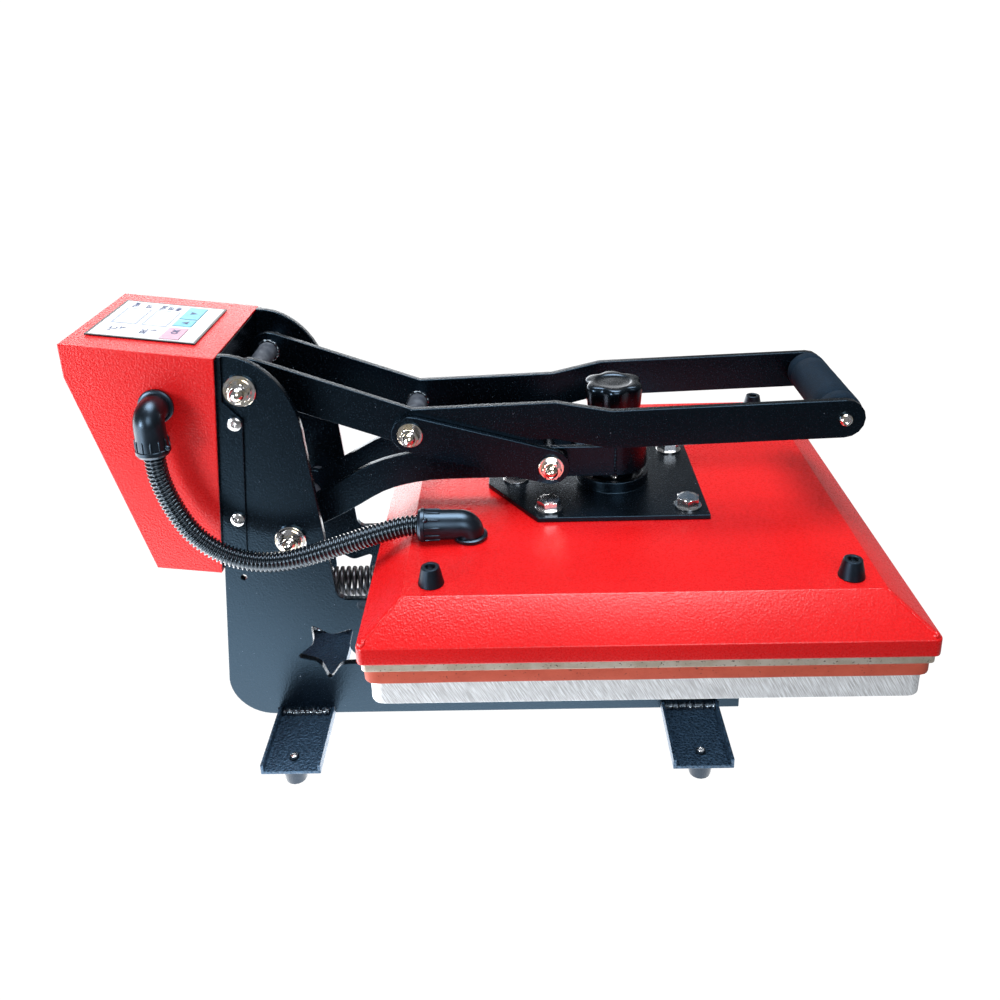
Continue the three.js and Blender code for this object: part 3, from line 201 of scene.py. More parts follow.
def draw_along(form, way, radii, sides):
    """A round tube: one ring, extruded from point to point and set square to the way."""
    way = [Vector(point) for point in way]
    heads = [(b - a).normalized() for a, b in zip([way[0], *way[:-1]], [*way[1:], way[-1]])]
    ring = bmesh.ops.create_circle(form, cap_ends=True, segments=sides, radius=radii[0])["verts"]
    square = heads[0].to_track_quat("Z", "Y").to_matrix().to_4x4()
    bmesh.ops.transform(form, matrix=Matrix.Translation(way[0]) @ square, verts=ring)
    rim = open_rim(ring)
    for i in range(1, len(way)):
        made = bmesh.ops.extrude_edge_only(form, edges=rim)
        ring = new_verts(made)
        turn = heads[i - 1].rotation_difference(heads[i]).to_matrix().to_4x4()
        bmesh.ops.transform(
            form, verts=ring,
            matrix=Matrix.Translation(way[i]) @ turn @ Matrix.Scale(radii[i] / radii[i - 1], 4)
            @ Matrix.Translation(-way[i - 1]))
        rim = new_edges(made)
    bmesh.ops.edgeloop_fill(form, edges=rim)


def rounded_way(points, count):
    """A smooth curve through the points, as count equal steps, and its length."""
    points = [Vector(point) for point in points]
    ends = [points[0] * 2 - points[1], *points, points[-1] * 2 - points[-2]]
    substeps = 24
    fine = []
    for i in range(1, len(ends) - 2):
        p0, p1, p2, p3 = ends[i - 1:i + 3]
        for step in range(substeps):
            t = step / substeps
            fine.append(0.5 * (2 * p1 + (p2 - p0) * t + (2 * p0 - 5 * p1 + 4 * p2 - p3) * t ** 2
                               + (3 * p1 - p0 - 3 * p2 + p3) * t ** 3))
    fine.append(points[-1])
    run = [0.0]
    for a, b in zip(fine, fine[1:]):
        run.append(run[-1] + (b - a).length)
    way, at = [], 0
    for i in range(count + 1):
        goal = run[-1] * i / count
        while at < len(run) - 2 and run[at + 1] < goal:
            at += 1
        share = (goal - run[at]) / (run[at + 1] - run[at])
        way.append(fine[at].lerp(fine[at + 1], min(1, share)))
    return way, run[-1]


def make_piece(form, name, body, slot, finish, *nodes, smooth=35, turned=True):
    """The finished mesh as an object that rides on a body and stands for the nodes given."""
    if turned:
        bmesh.ops.recalc_face_normals(form, faces=form.faces)
    mesh = bpy.data.meshes.new(name)
    form.to_mesh(mesh)
    form.free()
    mesh.materials.append(finish)
    mesh.shade_smooth()
    mesh.set_sharp_from_angle(angle=math.radians(smooth))
    made = bpy.data.objects.new(name, mesh)
    bpy.context.scene.collection.objects.link(made)
    if body:
        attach(made, body)
    if nodes:
        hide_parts(*nodes)
    return made


hose_nylon, nylon_shader, place = new_finish(
    "hose_nylon", Specular_IOR_Level=0.75, Specular_Tint=(0.5, 0.75, 1.0, 1),
    Coat_Weight=0.4, Coat_Roughness=0.12)
nylon_dust = place.grain(260, 4).above(0.45, 0.8)
feed(nylon_shader,
     Base_Color=nylon_dust.tone((0.001, 0.0014, 0.002, 1), (0.005, 0.007, 0.010, 1)),
     Roughness=0.16 + 0.14 * place.grain(900, 3),
     Normal=place.grain(1500, 2).relief(0.00005, 0.3))

hose_y, hose_drop = -0.088, 0.0719
hose_start, hose_end = Vector((-0.242, hose_y, 0.2889)), Vector((-0.042, hose_y, 0.217))
hose_shares = (
    (0, 1), (0, 0.89), (0.001, 0.779), (0.005, 0.626), (0.018, 0.46), (0.038, 0.285), (0.065, 0.112),
    (0.1, -0.05), (0.145, -0.185), (0.2, -0.295), (0.265, -0.375), (0.34, -0.417), (0.418, -0.415),
    (0.4975, -0.373), (0.5775, -0.306), (0.6575, -0.23), (0.737, -0.156), (0.815, -0.087), (0.88, -0.034),
    (0.925, -0.007), (0.96, 0), (1, 0))
hose_points = [Vector((hose_start.x + a * 0.2, hose_y, hose_end.z + u * hose_drop)) for a, u in hose_shares]
hose_ribs = 84
rib_radii_mm = (6.4, 6.5, 7.5, 7.95, 8.0, 7.7, 6.6)
rib_rings = len(rib_radii_mm)
hose_way, hose_length = rounded_way(hose_points, hose_ribs * rib_rings)
hose_radii = [0.001 * rib_radii_mm[i % rib_rings] for i in range(len(hose_way))]
form = bmesh.new()
draw_along(form, hose_way, hose_radii, 28)
hose = make_piece(form, "ribbed_hose", None, "black_plastic", hose_nylon, "conduit_hose", smooth=60)
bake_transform(hose)


# Feet: four black rubber feet, moulded round a threaded stud that is bonded in and screwed up
# through the rail. Their flanks taper to the floor and carry a fine moulding grain.
def dress(name, finish, slot, edge=0.0004, steps=2, sharp=30, smooth=50, weld=0.00002):
    """The node's own form with its triangles merged into faces and its edges broken."""
    node = frame["nodes"][name]
    form = bmesh.new()
    form.from_mesh(node.data)
    bmesh.ops.remove_doubles(form, verts=form.verts, dist=weld)
    bmesh.ops.dissolve_limit(form, angle_limit=math.radians(0.8), verts=form.verts, edges=form.edges)
    corners = [e for e in form.edges if len(e.link_faces) == 2 and e.calc_face_angle(0) > math.radians(sharp)]
    if edge:
        bmesh.ops.bevel(form, geom=corners, offset=edge, offset_type="OFFSET", affect="EDGES", segments=steps,
                        profile=0.5, material=-1, clamp_overlap=False, loop_slide=True)
    made = make_piece(form, name + "_dressed", node["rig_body"], slot, finish, name,
                      smooth=smooth, turned=False)
    weights = made.modifiers.new("flats stay flat", "WEIGHTED_NORMAL")
    weights.keep_sharp = True
    return made


foot_rubber, rubber_shader, place = new_finish(
    "foot_rubber", Specular_IOR_Level=0.45, Specular_Tint=(0.4, 0.66, 1.0, 1))
feed(rubber_shader,
     Base_Color=place.grain(400, 4).above(0.4, 0.75).tone(
         (0.0008, 0.0011, 0.0016, 1), (0.003, 0.004, 0.006, 1)),
     Roughness=0.34 + 0.2 * place.grain(1200, 2),
     Normal=place.grain(2200, 2).relief(0.0001, 0.5))
corners = ("rear_left", "rear_right", "front_left", "front_right")
for corner in corners:
    dress(corner + "_foot", foot_rubber, "black_rubber", edge=0.0008, steps=3)

# Foot rails: two rolled steel channels across the bottom, welded under the side plates, in fine
# wrinkled black powder coat. The weld beads and the foot studs' ends show on them.
black_coat, black_shader, place = new_finish(
    "black_powder_coat", Specular_IOR_Level=0.48, Specular_Tint=(0.34, 0.66, 1.0, 1))
black_cells = place.cells(620.0, 0.5)
black_grain = place.grain(900, 3, 0.6)
black_specks = place.grain(640, 1).above(0.80, 0.84)
cut_streaks = place.stretched(1, 0.06, 1).grain(1100, 2)
feed(black_shader,
     Base_Color=black_specks.tone(
         black_grain.above(0.45, 0.75).tone((0.0002, 0.0004, 0.0008, 1), (0.0030, 0.0054, 0.0090, 1)),
         (0.26, 0.32, 0.40, 1)),
     Roughness=0.16 + 0.18 * black_grain,
     Normal=(black_cells + 0.7 * black_grain + 0.5 * cut_streaks).relief(0.00036, 0.3))
# The rails' coat is a lighter, bluer copy of the black coat: that extra lightness is a painted sheen.
rail_coat_painted_sheen, rail_shader, place = new_finish(
    "rail_wrinkle_coat_painted_sheen", Specular_IOR_Level=0.9, Specular_Tint=(0.34, 0.62, 1.0, 1))
rail_cells = place.cells(430.0, 0.4)
rail_grain = place.grain(700, 3, 0.6)
feed(rail_shader,
     Base_Color=rail_cells.above(0.2, 0.7).tone((0.006, 0.014, 0.026, 1), (0.022, 0.044, 0.074, 1)),
     Roughness=0.36 + 0.2 * rail_grain,
     Normal=(rail_cells + 0.6 * rail_grain).relief(0.0013, 0.8))
for rail in ("rear_foot_rail", "front_foot_rail"):
    dress(rail, rail_coat_painted_sheen, "black_powder_coat", edge=0.0005)
weld_metal, weld_shader, place = new_finish(
    "weld_bead", Specular_IOR_Level=1.0, Specular_Tint=(0.55, 0.78, 1.0, 1),
    Coat_Weight=1.0, Coat_Roughness=0.06)
weld_scale = place.grain(300, 3, 0.55)
feed(weld_shader,
     Base_Color=weld_scale.above(0.35, 0.7).tone((0.002, 0.003, 0.005, 1), (0.014, 0.018, 0.024, 1)),
     Roughness=0.1 + 0.16 * weld_scale,
     Normal=weld_scale.relief(0.0005, 0.4))


def lumpy_bead(form, first, last, girth, pitch):
    """A hand-welded bead from first to last, its ripples and its thickness both uneven."""
    run = last - first
    stops = max(8, round(run.length / pitch * 4))
    way, radii = [], []
    for i in range(stops + 1):
        spot = first + run * (i / stops)
        wander = spot * 260
        sway = Vector([noise.noise(wander + Vector(shift)) for shift in ((0, 0, 0), (9, 0, 0), (0, 9, 0))])
        way.append(spot + sway * girth * 0.35)
        radii.append(girth * (0.86 + 0.22 * math.sin(i * math.tau / 4 + 0.6) + 0.3 * noise.noise(spot * 340)))
    radii[0] = radii[-1] = girth * 0.5
    draw_along(form, way, radii, 12)


rail_middles, rail_floor = (-0.159, 0.169), 0.0224
plate_middle_y, plate_half_sheet, half_bead = 0.059, 0.0038, Vector((0.0215, 0, 0))
form = bmesh.new()
for rail_x in rail_middles:
    for side in (-1, 1):
        for flank in (-1, 1):
            foot = Vector((rail_x, side * (plate_middle_y + flank * plate_half_sheet), rail_floor - 0.0005))
            lumpy_bead(form, foot - half_bead, foot + half_bead, 0.0037, 0.0052)
make_piece(form, "rail_weld_beads", "root", "black_powder_coat", weld_metal, smooth=80)
stud_zinc, zinc_shader, place = new_finish("zinc_plate", Metallic=1.0)
zinc_spangle = place.grain(240, 3)
feed(zinc_shader,
     Base_Color=zinc_spangle.above(0.3, 0.75).tone((0.70, 0.71, 0.73, 1), (0.80, 0.81, 0.83, 1)),
     Roughness=0.15 + 0.1 * zinc_spangle,
     Normal=place.grain(1600, 2).relief(0.00003, 0.12))


def turn_on_lathe(form, profile, steps=48):
    """A turned solid: a profile of (radius, height) points, spun once round Z."""
    dots = [form.verts.new((radius, 0, height)) for radius, height in profile]
    lines = [form.edges.new(pair) for pair in zip(dots, dots[1:])]
    bmesh.ops.spin(form, geom=dots + lines, cent=(0, 0, 0), axis=(0, 0, 1), dvec=(0, 0, 0),
                   angle=math.tau, steps=steps, use_merge=True, use_duplicate=False)
    bmesh.ops.remove_doubles(form, verts=form.verts, dist=0.000002)


def facing_out(x, reach, z, side):
    """A place on the left side, -1, or the right side, 1, with its Z turned outwards."""
    return Matrix.Translation((x, side * reach, z)) @ Matrix.Rotation(-side * math.pi / 2, 4, "X")


def set_in(form, item, matrix):
    """Adds an item, made at the origin, to a form at its place."""
    bmesh.ops.transform(item, matrix=matrix, verts=item.verts)
    loose = bpy.data.meshes.new("loose")
    item.to_mesh(loose)
    item.free()
    form.from_mesh(loose)
    bpy.data.meshes.remove(loose)


def set_turned(form, matrix, profile, steps):
    """Adds a turned solid to a form at its place."""
    item = bmesh.new()
    turn_on_lathe(item, profile, steps)
    set_in(form, item, matrix)


def pan_head(radius, height, slot_depth):
    """A pan-headed screw's head with a cross recess, standing on z 0."""
    head = bmesh.new()
    turn_on_lathe(head, [(0, 0), (radius, 0), (radius, height * 0.35), (radius * 0.93, height * 0.68),
                         (radius * 0.72, height * 0.92), (radius * 0.42, height), (0, height)], 32)
    top = [f for f in head.faces if f.calc_center_median().z > height * 0.99]
    bmesh.ops.inset_region(head, faces=top, thickness=radius * 0.1, depth=0)
    middles = {f: f.calc_center_median() for f in top}
    cross = [f for f, middle in middles.items() if abs(math.sin(2 * math.atan2(middle.y, middle.x))) < 0.55]
    bmesh.ops.translate(head, vec=(0, 0, -slot_depth), verts=list({v for f in cross for v in f.verts}))
    return head


form = bmesh.new()
for rail_x in rail_middles:
    for side in (-1, 1):
        set_in(form, pan_head(0.0030, 0.0014, 0.0004), Matrix.Translation((rail_x, side * 0.115, rail_floor)))
make_piece(form, "foot_stud_ends", "root", "zinc_steel", stud_zinc)

# Side plates and cross bars: laser-cut 6 mm plates joined by two flat bars, powder-coated black
# together. The plates' cut edges are slightly broken, and a small grommet closes a spare hole.
for plate in ("left_side_plate", "right_side_plate", "rear_cross_bar", "front_cross_bar"):
    dress(plate, black_coat, "black_powder_coat", edge=0.0006, weld=0.0007)
grommet = [(0, 0), (0.0052, 0), (0.0052, 0.0004), (0.0044, 0.0011), (0.0030, 0.0011), (0.0024, 0.0006),
           (0, 0.0006)]
form = bmesh.new()
for side in (-1, 1):
    set_turned(form, facing_out(-0.102, 0.062, 0.129, side), grommet, 32)
make_piece(form, "plate_grommets", "root", "black_rubber", foot_rubber)


def hex_head(across, height, crown):
    """A hexagon head on z 0 whose corners are turned down to crown, as on a real bolt or nut."""
    head = bmesh.new()
    ring = bmesh.ops.create_circle(head, cap_ends=True, segments=72, radius=1)["verts"]
    flat = across / 2
    for vert in ring:
        swing = math.atan2(vert.co.y, vert.co.x) % (math.pi / 3) - math.pi / 6
        vert.co = vert.co * (flat / math.cos(swing))
    base = list(head.faces)
    made = bmesh.ops.extrude_face_region(head, geom=base)
    corner = flat / math.cos(math.pi / 6)
    for vert in new_verts(made):
        out = Vector((vert.co.x, vert.co.y)).length
        vert.co.z = height - crown * (out - flat * 0.98) / (corner - flat * 0.98)
    face = [item for item in made["geom"] if isinstance(item, bmesh.types.BMFace)]
    bmesh.ops.inset_region(head, faces=face, thickness=flat * 0.07, depth=0)
    for vert in {v for f in face for v in f.verts}:
        vert.co.z = height
    return head


form = bmesh.new()
for bar_x in (0.044, 0.186):
    for bolt_y in (-0.035, 0.035):
        set_in(form, hex_head(0.013, 0.0055, 0.0008),
               Matrix.Translation((bar_x, bolt_y, 0.1257)) @ Matrix.Rotation(math.pi, 4, "X"))
make_piece(form, "platen_bolts", "root", "zinc_steel", stud_zinc)

# Lower platen: a cast and milled aluminium plate bolted to the cross bars. Its edges keep the
# cutter's lengthwise marks, and its corners are rounded.
milled_metal, milled_shader, place = new_finish("milled_aluminium", Metallic=0.45, Specular_IOR_Level=0.6)
cutter_way = place.node("Mapping", (), {"Vector": place, "Rotation": (0.0, 0.5, 0.0)})
cutter_marks = cutter_way.stretched(1, 1, 0.05).grain(1500, 2)
casting_spots = place.grain(190, 5, 0.65)
casting_pores = place.grain(900, 1).above(0.72, 0.78)
feed(milled_shader,
     Base_Color=casting_pores.tone(
         (0.88 * cutter_marks + 0.12 * casting_spots).above(0.36, 0.66).tone(
             (0.52, 0.54, 0.57, 1), (0.90, 0.95, 1.0, 1)),
         (0.15, 0.12, 0.10, 1)),
     Roughness=0.28 + 0.2 * casting_spots,
     Normal=(cutter_marks + 0.15 * casting_spots).relief(0.00012, 0.35))
dress("lower_platen", milled_metal, "milled_aluminium", edge=0.0007)

# Silicone pad: a thick sheet of terracotta silicone foam laid on the lower platen. It is cut with
# a knife, so its edge is a little wavy and shows fine open cells.
silicone, silicone_shader, place = new_finish("silicone_foam", Specular_IOR_Level=0.35)
cells = place.node("TexVoronoi", (), {"Vector": place, "Scale": 850.0})
silicone_patch = place.grain(60, 4, 0.65)
silicone_pores = place.grain(620, 2).above(0.66, 0.74)
feed(silicone_shader,
     Base_Color=silicone_pores.tone(
         silicone_patch.above(0.32, 0.68).tone((0.375, 0.062, 0.036, 1), (0.43, 0.080, 0.048, 1)),
         (0.10, 0.016, 0.010, 1)),
     Roughness=0.48 + 0.25 * place.grain(600, 3),
     Normal=(cells + place.grain(300, 3)).relief(0.00022, 0.5))
pad_low, pad_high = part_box("silicone_pad")
form = bmesh.new()
bmesh.ops.create_grid(form, x_segments=96, y_segments=96, size=0.5)
pad_corner, pad_half = 0.0085, (pad_high.x - pad_low.x) / 2
pad_middle = (pad_low + pad_high) / 2
straight = pad_half - pad_corner
for vert in form.verts:
    square = Vector((vert.co.x, vert.co.y)) * 2 * pad_half
    inner = Vector([max(-straight, min(straight, share)) for share in square])
    out = square - inner
    if out.length > pad_corner:
        square = inner + out * (pad_corner / out.length)
    vert.co = (pad_middle.x + square.x, pad_middle.y + square.y, pad_low.z + 0.0002)


def thicken(form, faces, lift):
    """Gives flat faces their thickness."""
    made = bmesh.ops.extrude_face_region(form, geom=faces)
    bmesh.ops.translate(form, verts=new_verts(made), vec=lift)


thicken(form, list(form.faces), (0, 0, pad_high.z - pad_low.z - 0.0004))
rims = [e for e in form.edges if len(e.link_faces) == 2 and e.calc_face_angle(0) > math.radians(60)
        and abs(e.verts[0].co.z - e.verts[1].co.z) < 1e-6]
bmesh.ops.bevel(form, geom=rims, offset=0.0012, offset_type="OFFSET", affect="EDGES", segments=3,
                profile=0.5, material=-1)
for vert in form.verts:
    out = Vector((vert.co.x - pad_middle.x, vert.co.y - pad_middle.y, 0))
    if max(abs(out.x), abs(out.y)) > pad_half - 0.004:
        vert.co -= out.normalized() * (0.0005 + 0.0005 * noise.noise(vert.co * 28))
pad = make_piece(form, "silicone_sheet", "root", "silicone_pad", silicone, "silicone_pad", smooth=50)

# Pivot fasteners: chromed studs through both side plates, each end with a broad washer and an
# acorn nut. The chrome is bright, with faint polishing swirls.
chrome, chrome_shader, place = new_finish("bright_chrome", Metallic=1.0)
chrome_swirl = place.grain(700, 4, 0.7)
# The chrome's colour turns warm gold in random patches: painted warm reflections.
feed(chrome_shader,
     Base_Color=place.grain(150, 2).above(0.4, 0.6).tone((0.90, 0.90, 0.92, 1), (0.93, 0.86, 0.72, 1)),
     Roughness=0.11 + 0.07 * chrome_swirl,
     Normal=place.grain(500, 3).relief(0.00002, 0.03))


def acorn_nut(form, matrix, washer, sheet, across, height, dome, rise):
    """A washer, a hexagon and a domed cap, stacked along the matrix's Z from its origin."""
    set_turned(form, matrix, [(0, 0), (washer - 0.0003, 0), (washer, 0.0003), (washer, sheet - 0.0004),
                              (washer - 0.0005, sheet), (0, sheet)], 56)
    set_in(form, hex_head(across, height, 0.0012), matrix @ Matrix.Translation((0, 0, sheet)))
    turns = [(dome * math.cos(a), rise * math.sin(a)) for a in (math.pi / 2 * i / 10 for i in range(11))]
    set_turned(form, matrix @ Matrix.Translation((0, 0, sheet + height)),
               [(0, -0.001), (dome, -0.001), *turns[:-1], (0, rise)], 40)


handle_pivot, arm_pivot, plate_face = (-0.180, 0.3199), (-0.155, 0.1909), 0.0622
plate_nut = (0.0125, 0.002, 0.0155, 0.0062, 0.0059, 0.0064)
nut_ring = [(0, 0), (0.0092, 0), (0.0096, 0.0004), (0.0096, 0.0011), (0.0092, 0.0015), (0, 0.0015)]
for name, (pivot_x, pivot_z) in (("handle_pivot", handle_pivot), ("arm_pivot", arm_pivot)):
    for side, node in ((-1, name + "_bolt"), (1, name + "_nut")):
        form = bmesh.new()
        outward = facing_out(pivot_x, plate_face, pivot_z, side)
        acorn_nut(form, outward, *plate_nut)
        set_turned(form, outward @ Matrix.Translation((0, 0, 0.0019)), nut_ring, 56)
        if side < 0:
            draw_along(form, [(pivot_x, -plate_face - 0.0003, pivot_z), (pivot_x, plate_face, pivot_z)],
                       [0.0049, 0.0049], 24)
        make_piece(form, node + "_chromed", "root", "chrome_fasteners", chrome, node, smooth=28)

# Control box: a folded sheet-steel case in red powder coat with a leather-like grain, closed at
# the front by the black bracket that holds it between the side plates.
red_coat, red_shader, place = new_finish(
    "red_powder_coat", Specular_IOR_Level=0.42, Specular_Tint=(1.0, 0.80, 0.84, 1))
red_cells = place.cells(700.0, 0.7)
red_orange_peel = place.grain(600, 3, 0.55)
red_cloud = place.grain(9, 3)
red_high, red_ahead = place.part(2), place.part(0)
red_texture = (0.75 + 0.9 * red_high.above(0.25, 0.34)
               + 0.8 * (1.0 - red_ahead.above(-0.05, 0.05)) * (1.0 - red_high.above(0.21, 0.23)))
feed(red_shader,
     Base_Color=(0.5 * red_cells + 0.5 * red_cloud).above(0.15, 0.75).tone(
         (0.56, 0.007, 0.008, 1), (0.46, 0.005, 0.006, 1)),
     Roughness=0.2 + 0.16 * red_orange_peel,
     Normal=((red_cells + 0.8 * red_orange_peel) * red_texture).relief(0.0005, 0.26))
dress("control_box", red_coat, "red_powder_coat", edge=0.0009, steps=3)
dress("box_bracket", black_coat, "black_powder_coat", edge=0.0004)
form = bmesh.new()
for side in (-1, 1):
    for flange_x, flange_z in ((-0.1864, 0.2939), (-0.1942, 0.2119)):
        set_in(form, pan_head(0.0058, 0.0026, 0.0007), facing_out(flange_x, 0.0643, flange_z, side))
make_piece(form, "bracket_screws", "root", "zinc_steel", stud_zinc)

# Control panel: a printed plate in the sloping top, with two display windows for temperature and
# time, three soft keys, and the circuit board on posts under it.
panel_slope = math.asin(0.123916)
panel_along = Vector((math.cos(panel_slope), 0, -math.sin(panel_slope)))
panel_out = Vector((math.sin(panel_slope), 0, math.cos(panel_slope)))
panel_corner = Vector((-0.29848, -0.043, 0.36175))
panel_length, panel_width = 0.0838, 0.0895
panel_print_painted_edge_shadow, print_and_shadow_shader, place = new_finish("panel_print_painted_edge_shadow", Coat_Weight=0.2, Coat_Roughness=0.1)
from_corner = place.node("VectorMath", {"operation": "SUBTRACT"}, {0: place, 1: tuple(panel_corner)})
along = from_corner.node(
    "VectorMath", {"operation": "DOT_PRODUCT"}, {0: from_corner, 1: tuple(panel_along)}, out=1)
across = from_corner.part(1)
edge_gap = along.math("MINIMUM", along.math("MINIMUM", along, panel_length - along),
                      along.math("MINIMUM", across, panel_width - across))
# The thin dark border round the panel's edge is painted shadow of the gap round the recessed panel.
feed(print_and_shadow_shader,
     Base_Color=(edge_gap + 0.0003 * place.grain(500, 2)).above(0.0017, 0.0022).tone(
         (0.003, 0.010, 0.016, 1), (0.56, 0.60, 0.63, 1)),
     Roughness=0.25 + 0.15 * place.grain(900, 2),
     Normal=place.grain(2500, 2).relief(0.00003, 0.4))
dress("display_panel", panel_print_painted_edge_shadow, "panel_white", edge=0.00015)
pink, blue = (0.44, 0.25, 0.34, 1), (0.10, 0.36, 0.47, 1)
for key, colour, slot in (
        ("ok_key", pink, "key_pink"), ("down_key", blue, "key_blue"), ("up_key", blue, "key_blue")):
    key_film, key_shader, place = new_finish(key + "_film", Coat_Weight=0.25, Coat_Roughness=0.15)
    feed(key_shader,
         Base_Color=place.grain(300, 3).above(0.3, 0.7).tone(colour, (*(c * 1.12 for c in colour[:3]), 1)),
         Roughness=0.3 + 0.15 * place.grain(900, 2),
         Normal=place.grain(1800, 2).relief(0.00004, 0.4))
    dress(key, key_film, slot, edge=0.00035)
board_mask, board_shader, place = new_finish("circuit_board", Roughness=0.35)
tracks = place.node("TexBrick", {"offset": 0.5}, {
    "Vector": place, "Scale": 160.0, "Color1": (0.01, 0.16, 0.05, 1), "Color2": (0.012, 0.2, 0.07, 1),
    "Mortar": (0.03, 0.34, 0.12, 1), "Mortar Size": 0.04})
feed(board_shader, Base_Color=tracks, Normal=place.grain(700, 2).relief(0.0001, 0.4))
dress("display_board", board_mask, "display_green_board", edge=0)
window_film, window_shader, place = new_finish("window_film", Coat_Weight=0.5, Coat_Roughness=0.06)
feed(window_shader,
     Base_Color=place.grain(60, 3).above(0.3, 0.75).tone((0.60, 0.63, 0.66, 1), (0.66, 0.68, 0.70, 1)),
     Roughness=0.18 + 0.12 * place.grain(900, 2),
     Normal=place.grain(1400, 2).relief(0.00003, 0.3))
# Lilac colour for the strips round the windows: painted shade of the window recesses.
window_shade_paint, window_shade_shader, place = new_finish("window_shade_paint", Coat_Weight=0.2, Coat_Roughness=0.1)
feed(window_shade_shader,
     Base_Color=place.grain(700, 3).above(0.3, 0.8).tone((0.20, 0.26, 0.44, 1), (0.28, 0.34, 0.52, 1)),
     Roughness=0.3 + 0.1 * place.grain(900, 2))
legend_ink, ink_shader, place = new_finish("legend_ink")
feed(ink_shader,
     Base_Color=place.grain(900, 3).above(0.4, 0.8).tone((0.010, 0.03, 0.12, 1), (0.03, 0.06, 0.19, 1)),
     Roughness=0.35 + 0.1 * place.grain(900, 2),
     Normal=place.grain(2500, 2).relief(0.00002, 0.3))


def on_panel(along, across, lift):
    """A point on the panel by its shares from the rear and from the near side, lifted off it."""
    return (panel_corner + panel_along * along * panel_length + Vector((0, across * panel_width, 0))
            + panel_out * lift)


def panel_patch(form, rear, front, near, far, lift, thick):
    """A thin rectangle on the panel, between shares of its length and width, for the lenses and the strips of
    painted shade.
    """
    spots = [on_panel(*share, lift) for share in ((rear, near), (front, near), (front, far), (rear, far))]
    thicken(form, [form.faces.new([form.verts.new(spot) for spot in spots])], panel_out * thick)


window_rears, window_near, window_far = (0.10, 0.385), 0.354, 0.776
form = bmesh.new()
for rear in window_rears:
    panel_patch(form, rear - 0.004, rear + 0.229, window_near, window_far, 0.00006, 0.0001)
make_piece(form, "window_lenses", "root", "panel_white", window_film)
# Thin lilac strips round each window's rim: painted shade in the window recesses.
form = bmesh.new()
for rear in window_rears:
    for back, front, near, far in (
            (-0.004, 0.012, window_near, window_far), (0.219, 0.229, window_near, window_far),
            (0.012, 0.219, window_near, 0.366), (0.012, 0.219, 0.760, window_far)):
        panel_patch(form, rear + back, rear + front, near, far, 0.00018, 0.00003)
make_piece(form, "window_painted_shade", "root", "panel_white", window_shade_paint)


def print_word(form, word, size, along, across, lift):
    """A word printed on the panel, to be read from the front of the press, as a thin mesh."""
    curve = bpy.data.curves.new("legend", "FONT")
    curve.body, curve.size, curve.align_x, curve.align_y = word, size, "CENTER", "CENTER"
    curve.extrude, curve.offset = 0.00003, 0.0002
    curve.resolution_u = 3
    lettering = bpy.data.objects.new("legend", curve)
    bpy.context.scene.collection.objects.link(lettering)
    mesh = bpy.data.meshes.new_from_object(lettering.evaluated_get(bpy.context.evaluated_depsgraph_get()))
    bpy.data.objects.remove(lettering)
    lettered = bmesh.new()
    lettered.from_mesh(mesh)
    bpy.data.meshes.remove(mesh)
    bmesh.ops.remove_doubles(lettered, verts=lettered.verts, dist=0.000002)
    bmesh.ops.dissolve_degenerate(lettered, edges=lettered.edges, dist=0.000002)
    set_in(form, lettered, placed((0, 1, 0), -panel_along, panel_out, on_panel(along, across, lift)))


form = bmesh.new()
for word, size, rear, side in (
        ("TEMP", 0.0056, 0.146, 0.875), ("SET", 0.0056, 0.276, 0.865), ("TIME", 0.0056, 0.415, 0.87),
        ("SET", 0.0056, 0.49, 0.865), ("MIN", 0.0056, 0.565, 0.865), ("°C", 0.0078, 0.185, 0.19),
        ("°F", 0.0060, 0.265, 0.23), ("SEC", 0.0064, 0.47, 0.19), ("h", 0.0060, 0.545, 0.24)):
    print_word(form, word, size, rear, side, 0.00006)
make_piece(form, "panel_legends", "root", "panel_white", legend_ink)
key_lift = 0.00052
for key, slot, points_up in (
        ("ok_key", "key_pink", 0), ("down_key", "key_blue", -1), ("up_key", "key_blue", 1)):
    low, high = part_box(key)
    form = bmesh.new()
    middle = (low + high) / 2
    top_share = ((middle - panel_corner).dot(panel_along)) / panel_length
    side_share = (middle.y - panel_corner.y) / panel_width
    if points_up:
        spot = on_panel(top_share, side_share, key_lift)
        mark = [spot + Vector((0, b * 0.0030, 0)) - panel_along * a * points_up * 0.0025
                for a, b in ((1, 0), (-1, 1), (-1, -1))]
        thicken(form, [form.faces.new([form.verts.new(point) for point in mark])], panel_out * 0.00006)
    else:
        print_word(form, "OK", 0.0072, top_share, side_share + 0.04, key_lift)
    make_piece(form, key + "_mark", key, slot, legend_ink)

# Relay, power switch and mains inlet: moulded black parts on the far wall and inside the box. The
# switch and the inlet snap into cut-outs, and the relay is screwed to the bracket.
moulded_black, moulded_shader, place = new_finish(
    "moulded_black", Specular_IOR_Level=0.75, Specular_Tint=(0.45, 0.7, 1.0, 1))
mould_flow = place.grain(55, 4)
feed(moulded_shader,
     Base_Color=mould_flow.above(0.35, 0.75).tone((0.0012, 0.0016, 0.0022, 1), (0.004, 0.005, 0.008, 1)),
     Roughness=0.24 + 0.16 * mould_flow,
     Normal=place.grain(1400, 2).relief(0.00006, 0.4))
for part in ("solid_state_relay", "power_switch_bezel", "mains_inlet", "power_rocker"):
    dress(part, moulded_black, "black_plastic", edge=0.0005, steps=3)


